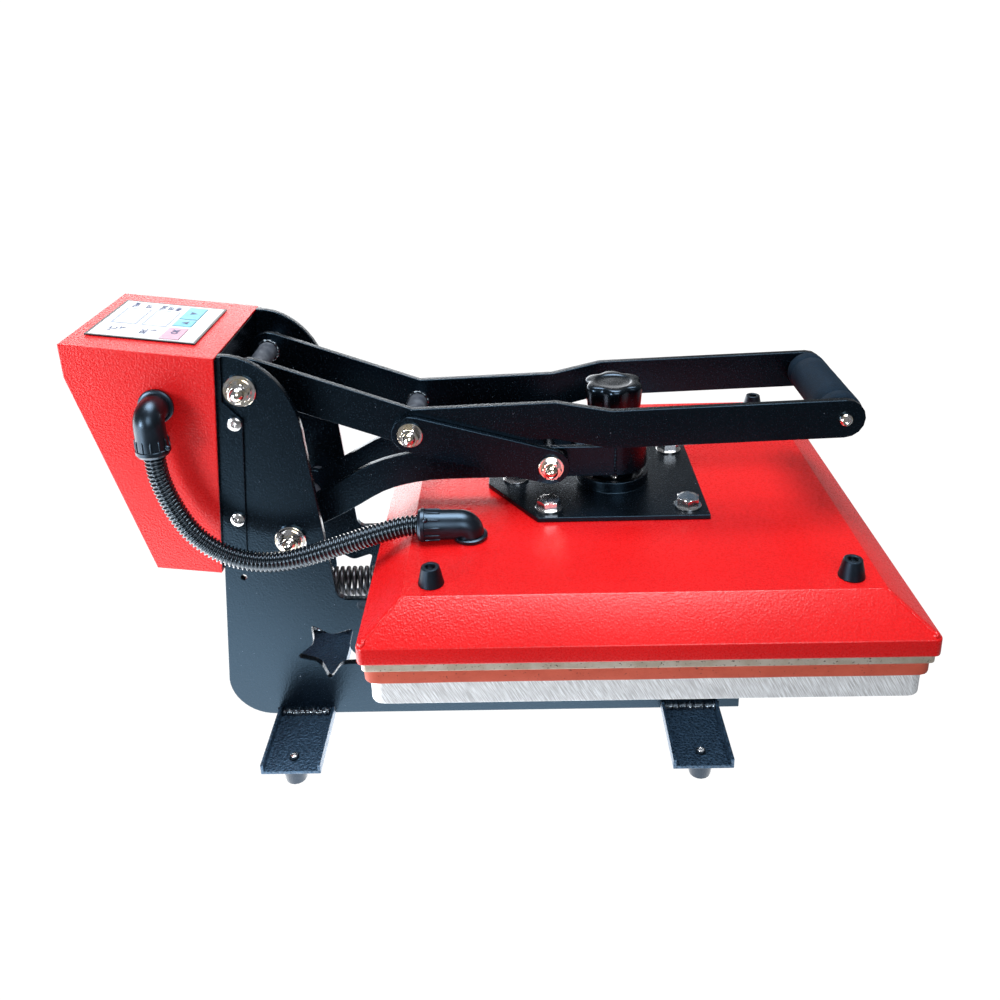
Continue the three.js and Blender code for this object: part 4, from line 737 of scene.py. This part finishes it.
# Elbows: two glossy moulded nylon elbows, nutted through the box wall and the cover. Each has a
# round back, a fluted collar with a rolled lip where the hose goes in, a catch and a base flange.
def fluted_elbow(name, node, body, seat, seat_head, corner, mouth, stub, catch):
    """An elbow from its seat on the sheet, round its corner to its mouth, where the hose enters."""
    form = bmesh.new()
    leg = (mouth - corner).normalized()
    length = (mouth - corner).length
    side = seat_head.cross(leg).normalized()
    outer = leg.cross(side).normalized()
    bend, bend_steps, neck, flutes = 0.0075, 12, 0.0108, 12
    rows = [(seat + seat_head * at, radius, seat_head) for at, radius in (
        (0.0, 0.0128), (0.0006, 0.0134), (0.0026, 0.0134), (0.0032, 0.0126), (0.0034, neck))]
    for i in range(bend_steps + 1):
        a = math.pi / 2 * i / bend_steps
        rows.append((corner - seat_head * bend * (1 - math.sin(a)) + leg * bend * (1 - math.cos(a)),
                     neck + 0.0005 * math.sin(a) ** 2,
                     (seat_head * math.cos(a) + leg * math.sin(a)).normalized()))
    rows += [(corner + leg * at, radius, leg) for at, radius in (
        (bend + 0.002, 0.0114), (length * 0.55, 0.0115), (length * 0.60, 0.0118), (length - 0.0052, 0.0120),
        (length - 0.0048, 0.0128), (length - 0.0022, 0.0129), (length - 0.0016, 0.0123),
        (length, 0.0116), (length, 0.0089), (length - 0.0075, 0.0087))]
    rings = []
    for point, radius, head in rows:
        ring = bmesh.ops.create_circle(form, cap_ends=False, segments=48, radius=radius)["verts"]
        bmesh.ops.transform(form, matrix=placed(side, head.cross(side), head, point), verts=ring)
        rings.append(open_rim(ring))
    for first, second in zip(rings, rings[1:]):
        bmesh.ops.bridge_loops(form, edges=first + second)
    bmesh.ops.edgeloop_fill(form, edges=rings[0])
    bmesh.ops.edgeloop_fill(form, edges=rings[-1])
    for i in range(flutes):
        a = math.tau * (i + 0.5) / flutes
        radial = side * math.cos(a) + outer * math.sin(a)
        way = [corner + leg * at + radial * out for at, out in (
            (length * 0.56, 0.0114), (length * 0.6, 0.0118), (length - 0.0056, 0.0120),
            (length - 0.005, 0.0116))]
        draw_along(form, way, [0.0004, 0.00085, 0.00085, 0.0004], 8)
    catch_foot = corner + leg * (length - 0.006)
    draw_along(form, [catch_foot + catch * rise for rise in (0.0105, 0.0125, 0.0142, 0.0150)],
               [0.0022, 0.0022, 0.0018, 0.0009], 14)
    draw_along(form, [seat + seat_head * 0.001, seat - seat_head * stub], [0.0082, 0.0082], 28)
    make_piece(form, name, body, "black_plastic", moulded_black, node, smooth=45)


box_corner, cover_corner = Vector((-0.242, hose_y, 0.3119)), Vector((-0.010, hose_y, 0.217))
fluted_elbow(
    "box_elbow_moulding", "box_elbow", "root", seat=Vector((box_corner.x, -0.0683, box_corner.z)),
    seat_head=Vector((0, -1, 0)), corner=box_corner, mouth=Vector((-0.242, hose_y, 0.2814)), stub=0.0075,
    catch=Vector((0.96, -0.28, 0)).normalized())
fluted_elbow(
    "cover_elbow_moulding", "cover_elbow", "head", seat=Vector((cover_corner.x, hose_y, 0.2060)),
    seat_head=Vector((0, 0, 1)), corner=cover_corner, mouth=Vector((-0.049, hose_y, 0.217)), stub=0.007,
    catch=Vector((0, -0.7, 0.7)).normalized())

# Counterbalance spring: an oiled steel extension spring low between the plates, hooked over the
# arms' tail pin and the fixed anchor pin, so the head stays up when it is opened.
oiled_steel, oiled_shader, place = new_finish("oiled_steel", Metallic=1.0)
oil = place.grain(180, 4).above(0.4, 0.75)
feed(oiled_shader,
     Base_Color=oil.tone((0.07, 0.074, 0.084, 1), (0.022, 0.024, 0.028, 1)),
     Roughness=0.26 + 0.2 * place.grain(800, 3),
     Normal=place.grain(1500, 2).relief(0.00005, 0.4))
tail_x, anchor_x, spring_z, coil, wire = -0.1918, 0.012, 0.112, 0.0115, 0.0020
curls, curl_steps, hook, hook_steps, hook_turn, neck = 32, 16, 0.0059, 10, 290, 0.0165
way = []
for i in range(hook_steps + 1):
    a = math.radians(200 - hook_turn * i / hook_steps)
    way.append(Vector((tail_x + hook * math.cos(a), 0, spring_z - hook * math.sin(a))))
for i in range(curls * curl_steps + 1):
    a = math.tau * i / curl_steps
    along = (anchor_x - tail_x - 2 * neck) * i / (curls * curl_steps)
    way.append(Vector((tail_x + neck + along, coil * math.sin(a), spring_z - coil * math.cos(a))))
for i in range(hook_steps + 1):
    a = math.radians(-90 + hook_turn * i / hook_steps)
    way.append(Vector((anchor_x - hook * math.cos(a), 0, spring_z + hook * math.sin(a))))
form = bmesh.new()
draw_along(form, way, [wire] * len(way), 10)
spring = make_piece(form, "tension_spring", "root", "spring_steel", oiled_steel, "counter_spring", smooth=70)
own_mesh(spring)
dress("spring_anchor_pin", stud_zinc, "zinc_steel", edge=0.0005)
dress("spring_tail_pin", stud_zinc, "zinc_steel", edge=0.0005)

# Swing arms: a pair of curved flat arms welded to a tube over the lower pivot and to the nose
# block that carries the screw, powder-coated black.
for part in ("left_swing_arm", "right_swing_arm", "arm_nose"):
    dress(part, black_coat, "black_powder_coat", edge=0.0006)
form = bmesh.new()
for side in (-1, 1):
    low, high = Vector((0.1062, side * 0.0288, 0.2275)), Vector((0.1062, side * 0.0288, 0.2495))
    lumpy_bead(form, low, high, 0.0012, 0.003)
make_piece(form, "nose_weld_beads", "arm", "black_powder_coat", black_coat, smooth=80)
tube_paint, tube_shader, place = new_finish("grey_tube_paint", Metallic=0.35)
tube_wear = place.grain(140, 5, 0.6)
feed(tube_shader,
     Base_Color=tube_wear.above(0.35, 0.8).tone((0.045, 0.055, 0.075, 1), (0.13, 0.15, 0.18, 1)),
     Roughness=0.38 + 0.2 * tube_wear,
     Normal=place.grain(900, 3).relief(0.0001, 0.4))
dress("arm_pivot_tube", tube_paint, "grey_tube", edge=0.0005)
dress("handle_pivot_tube", tube_paint, "grey_tube", edge=0.0005)

# Handle bars and link pin: two flat bars bent outwards in front of the knob, held together by the
# pivot tube, the link pin and the grip.
for part in ("left_handle_bar", "right_handle_bar"):
    dress(part, black_coat, "black_powder_coat", edge=0.0006)
dress("link_pin", tube_paint, "zinc_steel", edge=0.0005)


def ring_bead(form, middle, radius, girth):
    """A hand-welded bead right round a tube that lies along Y."""
    way, radii, steps = [], [], 60
    for i in range(steps + 1):
        a = math.tau * i / steps
        out = Vector((math.cos(a), 0, math.sin(a)))
        way.append(middle + out * (radius + 0.0003 * noise.noise(out * 5 + middle * 90)))
        radii.append(girth * (0.9 + 0.2 * math.sin(a * 11) + 0.25 * noise.noise(out * 7 + middle * 60)))
    draw_along(form, way, radii, 12)


link_pin = (-0.057, 0.2709)
form = bmesh.new()
for pin_x, pin_z in (handle_pivot, link_pin):
    for side in (-1, 1):
        ring_bead(form, Vector((pin_x, side * 0.0286, pin_z)), 0.0086, 0.0015)
make_piece(form, "tube_weld_beads", "handle", "black_powder_coat", weld_metal, smooth=80)

# Links: two short straight links from the link pin down to the nose of the arms, on chromed studs
# with acorn nuts outside. The shank of the bolt through the nose is black like the nose.
for part in ("left_link", "right_link"):
    dress(part, black_coat, "black_powder_coat", edge=0.0006)
link_bolt, link_nut, shank = (0.054, 0.2399), (0.0102, 0.0015, 0.0142, 0.0060, 0.0053, 0.0058), 0.0048
for side, hand in ((-1, "left"), (1, "right")):
    form = bmesh.new()
    acorn_nut(form, facing_out(link_pin[0], 0.0409, link_pin[1], side), *link_nut)
    stud_way = [(link_pin[0], side * reach, link_pin[1]) for reach in (0.0358, 0.0412)]
    draw_along(form, stud_way, [shank, shank], 24)
    make_piece(form, hand + "_link_nut_chromed", "link", "chrome_fasteners", chrome,
               hand + "_link_stud", smooth=28)
for side, node in ((-1, "link_bolt"), (1, "link_bolt_nut")):
    form = bmesh.new()
    acorn_nut(form, facing_out(link_bolt[0], 0.0411, link_bolt[1], side), *link_nut)
    make_piece(form, node + "_chromed", "arm", "chrome_fasteners", chrome, node, smooth=28)
form = bmesh.new()
draw_along(form, [(link_bolt[0], reach, link_bolt[1]) for reach in (-0.0412, 0.0410)], [shank, shank], 24)
make_piece(form, "link_bolt_shank", "arm", "black_powder_coat", black_coat)

# Grip: a closed-cell foam sleeve on a steel tube between the bars, held by a rod with round
# polished heads. The foam is matt, with fine cells and softly rounded ends.
grip_foam, foam_shader, place = new_finish(
    "grip_foam", Specular_IOR_Level=0.2, Specular_Tint=(0.4, 0.68, 1.0, 1))
foam_pores = place.node("TexVoronoi", (), {"Vector": place, "Scale": 1100.0})
foam_shade = place.grain(220, 4, 0.6)
feed(foam_shader,
     Base_Color=(0.6 * foam_pores + 0.5 * foam_shade).above(0.25, 0.8).tone(
         (0.0015, 0.003, 0.006, 1), (0.006, 0.014, 0.026, 1)),
     Roughness=0.78 + 0.2 * foam_shade,
     Normal=(foam_pores + foam_shade).relief(0.0003, 0.6))
foam_low, foam_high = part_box("foam_grip")
foam_middle = (foam_low + foam_high) / 2
foam_half, foam_skin, groove, bore = 0.0508, 0.01645, 0.0158, 0.0111
foam_end = [(bore, -foam_half), (0.0138, -foam_half), (0.0155, -foam_half + 0.0011),
            (0.0162, -foam_half + 0.003), (foam_skin, -foam_half + 0.0058), (foam_skin, -0.0386),
            (groove, -0.0376), (groove, -0.0368), (foam_skin, -0.0358)]
sleeve = foam_end + [(foam_skin - 0.00012 * abs(math.sin(i * 1.3)), -0.03 + i * 0.0066) for i in range(1, 9)]
sleeve += [(radius, -height) for radius, height in reversed(foam_end)]
form = bmesh.new()
turn_on_lathe(form, sleeve + [sleeve[0]], 72)
for vert in form.verts:
    out = Vector((vert.co.x, vert.co.y, 0))
    if out.length > 0.0125:
        vert.co -= out.normalized() * (0.00012 + 0.00012 * noise.noise(vert.co * 220))
bmesh.ops.transform(form, verts=form.verts,
                    matrix=Matrix.Translation(foam_middle) @ Matrix.Rotation(math.pi / 2, 4, "X"))
grip = make_piece(form, "foam_sleeve", "handle", "grip_foam", grip_foam, "foam_grip", smooth=60)
dress("grip_tube", stud_zinc, "zinc_steel", edge=0.0004)
rod_low, rod_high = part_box("grip_rod")
rod_half = (rod_high.y - rod_low.y) / 2
rod_end = [(0, 0.0018), (0.0021, 0.0018), (0.0022, 0.0001), (0.0034, 0), (0.0047, 0.0010), (0.0052, 0.0024),
           (0.0052, 0.0040), (0.0039, 0.0041)]
form = bmesh.new()
set_turned(form, Matrix.Translation((rod_low + rod_high) / 2) @ Matrix.Rotation(math.pi / 2, 4, "X"),
           [(r, h - rod_half) for r, h in rod_end] + [(r, rod_half - h) for r, h in reversed(rod_end)], 36)
make_piece(form, "grip_tie_rod", "handle", "chrome_fasteners", chrome, "grip_rod", smooth=40)

# Mounting plate: a pointed black plate bolted to the cover's top with five zinc bolts. The ring and
# hub welded to it hold the foot of the pressure screw, locked by a small set screw.
dress("mount_plate", black_coat, "black_powder_coat", edge=0.0006)
screw_x, mount_top = 0.1065, 0.2098
bolt_washer = [(0, 0), (0.0105, 0), (0.0108, 0.0003), (0.0108, 0.0012), (0.0105, 0.0015), (0, 0.0015)]
bolt_dish = [(0, 0.0001), (0.0052, 0.0001), (0.0056, 0.0003), (0, 0.0003)]
form = bmesh.new()
for bolt_x, bolt_y, spin in (
        (0.0515, -0.052, 8), (0.0515, 0.052, 40), (0.1615, -0.052, 22), (0.1615, 0.052, 3), (0.0255, 0, 30)):
    spot = Matrix.Translation((bolt_x, bolt_y, mount_top)) @ Matrix.Rotation(math.radians(spin), 4, "Z")
    set_turned(form, spot, bolt_washer, 48)
    set_in(form, hex_head(0.0165, 0.0066, 0.001), spot @ Matrix.Translation((0, 0, 0.0015)))
    set_turned(form, spot @ Matrix.Translation((0, 0, 0.0080)), bolt_dish, 40)
make_piece(form, "mount_bolts", "head", "zinc_steel", stud_zinc, smooth=28)
form = bmesh.new()
set_turned(form, facing_out(screw_x, 0.0168, 0.2195, -1), [
    (0, 0), (0.0029, 0), (0.0029, 0.0016), (0.0024, 0.002), (0.0015, 0.002), (0.0013, 0.0009),
    (0, 0.0009)], 24)
make_piece(form, "boss_set_screw", "head", "zinc_steel", stud_zinc)

# Pressure screw and knob: a zinc-plated screw with a coarse thread through the nose, and a glossy
# moulded six-lobed knob pressed on its head, with a round recess in its top.
screw_low, screw_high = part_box("pressure_screw")
thread_root, thread_tip, thread_pitch = 0.0063, 0.0074, 0.003
thread = []
height = screw_low.z + 0.0002
while height < screw_high.z - thread_pitch:
    thread += [(thread_root, height), (thread_tip, height + 0.0007), (thread_tip, height + 0.0015),
               (thread_root, height + 0.0022)]
    height += thread_pitch
form = bmesh.new()
set_turned(form, Matrix.Translation((screw_x, 0, 0)), [(0, thread[0][1]), *thread, (0, thread[-1][1])], 32)
make_piece(form, "pressure_screw_thread", "knob", "zinc_steel", stud_zinc, "pressure_screw", smooth=40)


def loft(form, segments, places):
    """A closed skin: each place turns an angle into a point of its ring, and both ends are filled."""
    rim = open_rim(bmesh.ops.create_circle(form, cap_ends=True, segments=segments, radius=1)["verts"])
    for _ in places[1:]:
        made = bmesh.ops.extrude_edge_only(form, edges=rim)
        bmesh.ops.translate(form, verts=new_verts(made), vec=(0, 0, 1))
        rim = new_edges(made)
    bmesh.ops.edgeloop_fill(form, edges=rim)
    for vert in form.verts:
        vert.co = places[round(vert.co.z)](math.atan2(vert.co.y, vert.co.x))


knob_gloss, gloss_shader, place = new_finish(
    "knob_gloss", Specular_IOR_Level=0.6, Specular_Tint=(0.45, 0.7, 1.0, 1))
feed(gloss_shader,
     Base_Color=place.grain(200, 3).above(0.4, 0.75).tone(
         (0.0004, 0.0007, 0.0012, 1), (0.0018, 0.0028, 0.004, 1)),
     Roughness=0.17 + 0.16 * place.grain(500, 3),
     Normal=place.grain(1400, 2).relief(0.00005, 0.3))


def knob_ring(height, share, lobe):
    """One ring of the knob: a circle with six scooped flutes between rounded lobes."""
    def place(a):
        radius = knob_radius * share * (1 - lobe * 0.15 * (0.5 + 0.5 * math.cos(6 * a)) ** 1.4)
        return Vector((screw_x + radius * math.cos(a), radius * math.sin(a), height))
    return place


knob_radius = 0.0244
knob_low, knob_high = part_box("pressure_knob")
knob_rows = [(knob_low.z + rise, share, lobe) for rise, share, lobe in (
    (0.004, 0.30, 0), (0.0002, 0.34, 0), (0, 0.36, 0), (0, 0.84, 0.9), (0.0004, 0.89, 1), (0.0014, 0.945, 1),
    (0.004, 0.965, 1), (0.012, 0.99, 1))]
knob_rows += [(knob_high.z - drop, share, lobe) for drop, share, lobe in (
    (0.0042, 1.0, 1), (0.0028, 0.997, 1), (0.0017, 0.98, 1), (0.0009, 0.955, 1), (0.0003, 0.915, 1),
    (0, 0.86, 0.95), (0, 0.74, 0.6), (0, 0.62, 0.1), (0.0001, 0.60, 0), (0.0008, 0.565, 0), (0.0010, 0.53, 0),
    (0.0010, 0.30, 0), (0.0009, 0.05, 0))]
form = bmesh.new()
loft(form, 180, [knob_ring(*row) for row in knob_rows])
make_piece(form, "lobed_knob", "knob", "black_plastic", knob_gloss, "pressure_knob", smooth=50)

# Top cover: a pressed and welded sheet-steel tray over the heater, in the same red grained powder
# coat as the box. Its corner seams are welded, ground and painted over, and still show as low ridges.
def cover_ring(height, half, corner):
    """One ring of the cover: a square of the given half width with rounded corners."""
    def place(a):
        turn = (a - math.pi / 4) % math.tau
        step = int(turn / math.tau * cover_points + 0.25) + corner_points // 2
        quarter, notch = step // corner_points % 4, step % corner_points
        reach = math.pi / 4 + quarter * math.pi / 2
        swing = reach + math.pi / 2 * (notch - corner_points // 2) / (corner_points - 1)
        hub = Vector((math.cos(reach), math.sin(reach))) * (half - corner) * math.sqrt(2)
        return Vector((cover_x + hub.x + corner * math.cos(swing), hub.y + corner * math.sin(swing), height))
    return place


corner_points = 11
cover_points = 4 * corner_points
cover_low, cover_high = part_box("top_cover")
cover_x, cover_half = (cover_low.x + cover_high.x) / 2, 0.1965
bevel_in, bevel_low = 0.0295, 0.1838
low_bend, high_bend, bend_steps = 0.0022, 0.0020, 4
slope = math.atan2(cover_high.z - bevel_low, bevel_in)
rows = [(cover_low.z + rise, cover_half - inset, corner) for rise, inset, corner in (
    (0.011, 0.0027, 0.0024), (0.0006, 0.0027, 0.0024), (0, 0.0022, 0.0029), (0, 0.0009, 0.0042),
    (0.0005, 0.0002, 0.0049), (0.0014, 0, 0.0052))]
for i in range(bend_steps + 1):
    a = (math.pi / 2 - slope) * i / bend_steps
    rows.append((bevel_low - 0.0010 + low_bend * math.sin(a),
                 cover_half - low_bend * (1 - math.cos(a)), 0.0056))
for i in range(bend_steps + 1):
    a = math.pi / 2 - slope + slope * i / bend_steps
    rows.append((cover_high.z - high_bend * (1 - math.sin(a)),
                 cover_half - bevel_in - 0.0007 + high_bend * math.cos(a), 0.0036))
rows.append((cover_high.z, 0.04, 0.0036))
form = bmesh.new()
loft(form, cover_points, [cover_ring(*row) for row in rows])
make_piece(form, "pressed_cover", "head", "red_powder_coat", red_coat, "top_cover", smooth=70)
seam_low, seam_high, seam_steps, seam = cover_half - 0.0026, cover_half - bevel_in - 0.0012, 14, 0.0012
seam_radii = [seam / 2, *(seam + 0.0002 * math.sin(i * 1.7) for i in range(seam_steps - 1)), seam / 2]
form = bmesh.new()
for side_x in (-1, 1):
    for side_y in (-1, 1):
        foot = Vector((cover_x + side_x * seam_low, side_y * seam_low, bevel_low + 0.0004))
        head = Vector((cover_x + side_x * seam_high, side_y * seam_high, cover_high.z - 0.0008))
        way = [foot.lerp(head, i / seam_steps) + Vector((0, 0, 0.0002 * math.sin(i * 2.1)))
               for i in range(seam_steps + 1)]
        draw_along(form, way, seam_radii, 10)
        blob = bmesh.new()
        bmesh.ops.create_icosphere(blob, subdivisions=4, radius=0.0032)
        for vert in blob.verts:
            vert.co *= 1 + 0.12 * noise.noise(vert.co * 400 + foot * 50)
        set_in(form, blob, Matrix.Translation(foot + Vector((-side_x * 0.0022, -side_y * 0.0022, 0.0006))))
make_piece(form, "cover_corner_seams", "head", "red_powder_coat", red_coat, smooth=70)

# Heater platen and element: a sand-cast aluminium platen with a tubular element in it, under the
# cover. Its rough, pitted flank shows between the cover and the pad.
cast_metal, cast_shader, place = new_finish("sand_cast_aluminium", Metallic=0.85, Specular_IOR_Level=0.5)
cast_pits = place.grain(620, 2).above(0.64, 0.70)
cast_bloom = place.grain(90, 4, 0.6)
feed(cast_shader,
     Base_Color=cast_pits.tone(
         cast_bloom.above(0.35, 0.65).tone((0.56, 0.49, 0.40, 1), (0.66, 0.61, 0.54, 1)),
         (0.10, 0.07, 0.05, 1)),
     Roughness=0.36 + 0.2 * cast_bloom,
     Normal=(place.stretched(0.1, 0.1, 1).grain(900, 2) + 0.4 * cast_bloom).relief(0.00012, 0.4))
dress("heater_platen", cast_metal, "milled_aluminium", edge=0.0007)
dress("heating_element", stud_zinc, "zinc_steel", edge=0)

# Bumpers: four black rubber bumpers screwed to the cover's corners. They taper to a dished top
# with the screw at the bottom of the dish.
for corner in corners:
    dress(corner + "_bumper", foot_rubber, "black_rubber", edge=0.0008, steps=3)
form = bmesh.new()
for bumper_x in (-0.035, 0.259):
    for side in (-1, 1):
        set_in(form, pan_head(0.0032, 0.0016, 0.0005), Matrix.Translation((bumper_x, side * 0.151, 0.2139)))
make_piece(form, "bumper_screws", "head", "zinc_steel", stud_zinc)

# Studio: a plain floor that curves up beyond the press, a window light there, a broad soft light
# overhead and two soft lights on the camera's side. Floor and room are plain white to the camera.
# In reflections the room is dim, and the floor fades to dark towards the camera and the handle.
floor_paper, paper_shader, place = new_finish(
    "floor_paper", Roughness=0.8, Specular_IOR_Level=0.2, Emission_Strength=4.6)
white, white_level = (1.0, 1.0, 1.0, 1), 1.06
toward_right, toward_back = place.part(0), place.part(1)
lit_ahead = (toward_back + place.math("MAXIMUM", -0.15 - toward_right, 0.0)).above(-0.36, -0.07)
lit_paper = lit_ahead * (1.0 - 0.96 * toward_right.above(0.03, 0.40))
feed(paper_shader,
     Base_Color=place.grain(3, 2).tone((0.12, 0.12, 0.12, 1), (0.13, 0.13, 0.13, 1)),
     Emission_Color=lit_paper.tone((0.0, 0.0, 0.0, 1), white))
white_paper = place.node("Emission", (), {"Color": white, "Strength": white_level})
paper_seen = place.node("MixShader", (), {
    0: place.node("LightPath"), 1: Signal(paper_shader.outputs[0]), 2: white_paper})
paper_tree = floor_paper.node_tree
paper_tree.links.new(paper_seen.socket, paper_tree.nodes["Material Output"].inputs["Surface"])
form = bmesh.new()
reach, straight, cove, cove_steps = 5, 1.2, 0.4, 12
cove_way = [(straight + cove * math.sin(a), cove - cove * math.cos(a))
            for a in (math.pi / 2 * i / cove_steps for i in range(cove_steps + 1))]
floor_way = [(-reach, 0), *cove_way, (straight + cove, 0.82)]
left_rim = [form.verts.new((-reach, y, z - 0.0002)) for y, z in floor_way]
rim_edges = [form.edges.new(pair) for pair in zip(left_rim, left_rim[1:])]
made = bmesh.ops.extrude_edge_only(form, edges=rim_edges)
bmesh.ops.translate(form, verts=new_verts(made), vec=(2 * reach, 0, 0))
floor_mesh = bpy.data.meshes.new("floor")
form.to_mesh(floor_mesh)
form.free()
floor_mesh.materials.append(floor_paper)
floor_mesh.shade_smooth()
floor = bpy.data.objects.new("floor", floor_mesh)
bpy.context.scene.collection.objects.link(floor)


def soft_light(name, power, width, depth, spread, spot, aim):
    """A soft box of the given size, gridded to the given spread and aimed at a point."""
    lamp = bpy.data.lights.new(name, "AREA")
    lamp.shape = "RECTANGLE"
    lamp.energy, lamp.size, lamp.size_y, lamp.spread = power, width, depth, math.radians(spread)
    light = bpy.data.objects.new(name, lamp)
    light.location = spot
    light.rotation_euler = (Vector(aim) - Vector(spot)).to_track_quat("-Z", "Y").to_euler()
    bpy.context.scene.collection.objects.link(light)


soft_light("window_light", 2.5, 1.3, 0.7, 180, (-0.75, 1.5, 1.15), (-0.1, 0, 0.3))
soft_light("top_light", 17, 1.6, 1.4, 70, (0.1, 0.25, 2.2), (0.05, 0.1, 0.2))
soft_light("front_light", 3.5, 1.2, 1.2, 60, (0.5, -2.0, 1.3), (0, 0, 0.2))
soft_light("left_light", 12, 0.5, 0.5, 120, (-1.4, -1.5, 0.5), (-0.1, 0, 0.25))
sky = bpy.data.worlds.new("pale_room")
sky.use_nodes = True
room = sky.node_tree.nodes["Background"]
room.inputs["Color"].default_value = white
room.inputs["Strength"].default_value = 0.15
room = Signal(room.outputs[0])
white_room = room.node("Background", (), {"Color": white, "Strength": white_level})
room_seen = room.node("MixShader", (), {0: room.node("LightPath"), 1: room, 2: white_room})
sky.node_tree.links.new(room_seen.socket, sky.node_tree.nodes["World Output"].inputs["Surface"])
bpy.context.scene.world = sky
bpy.context.scene.view_settings.view_transform = "Standard"
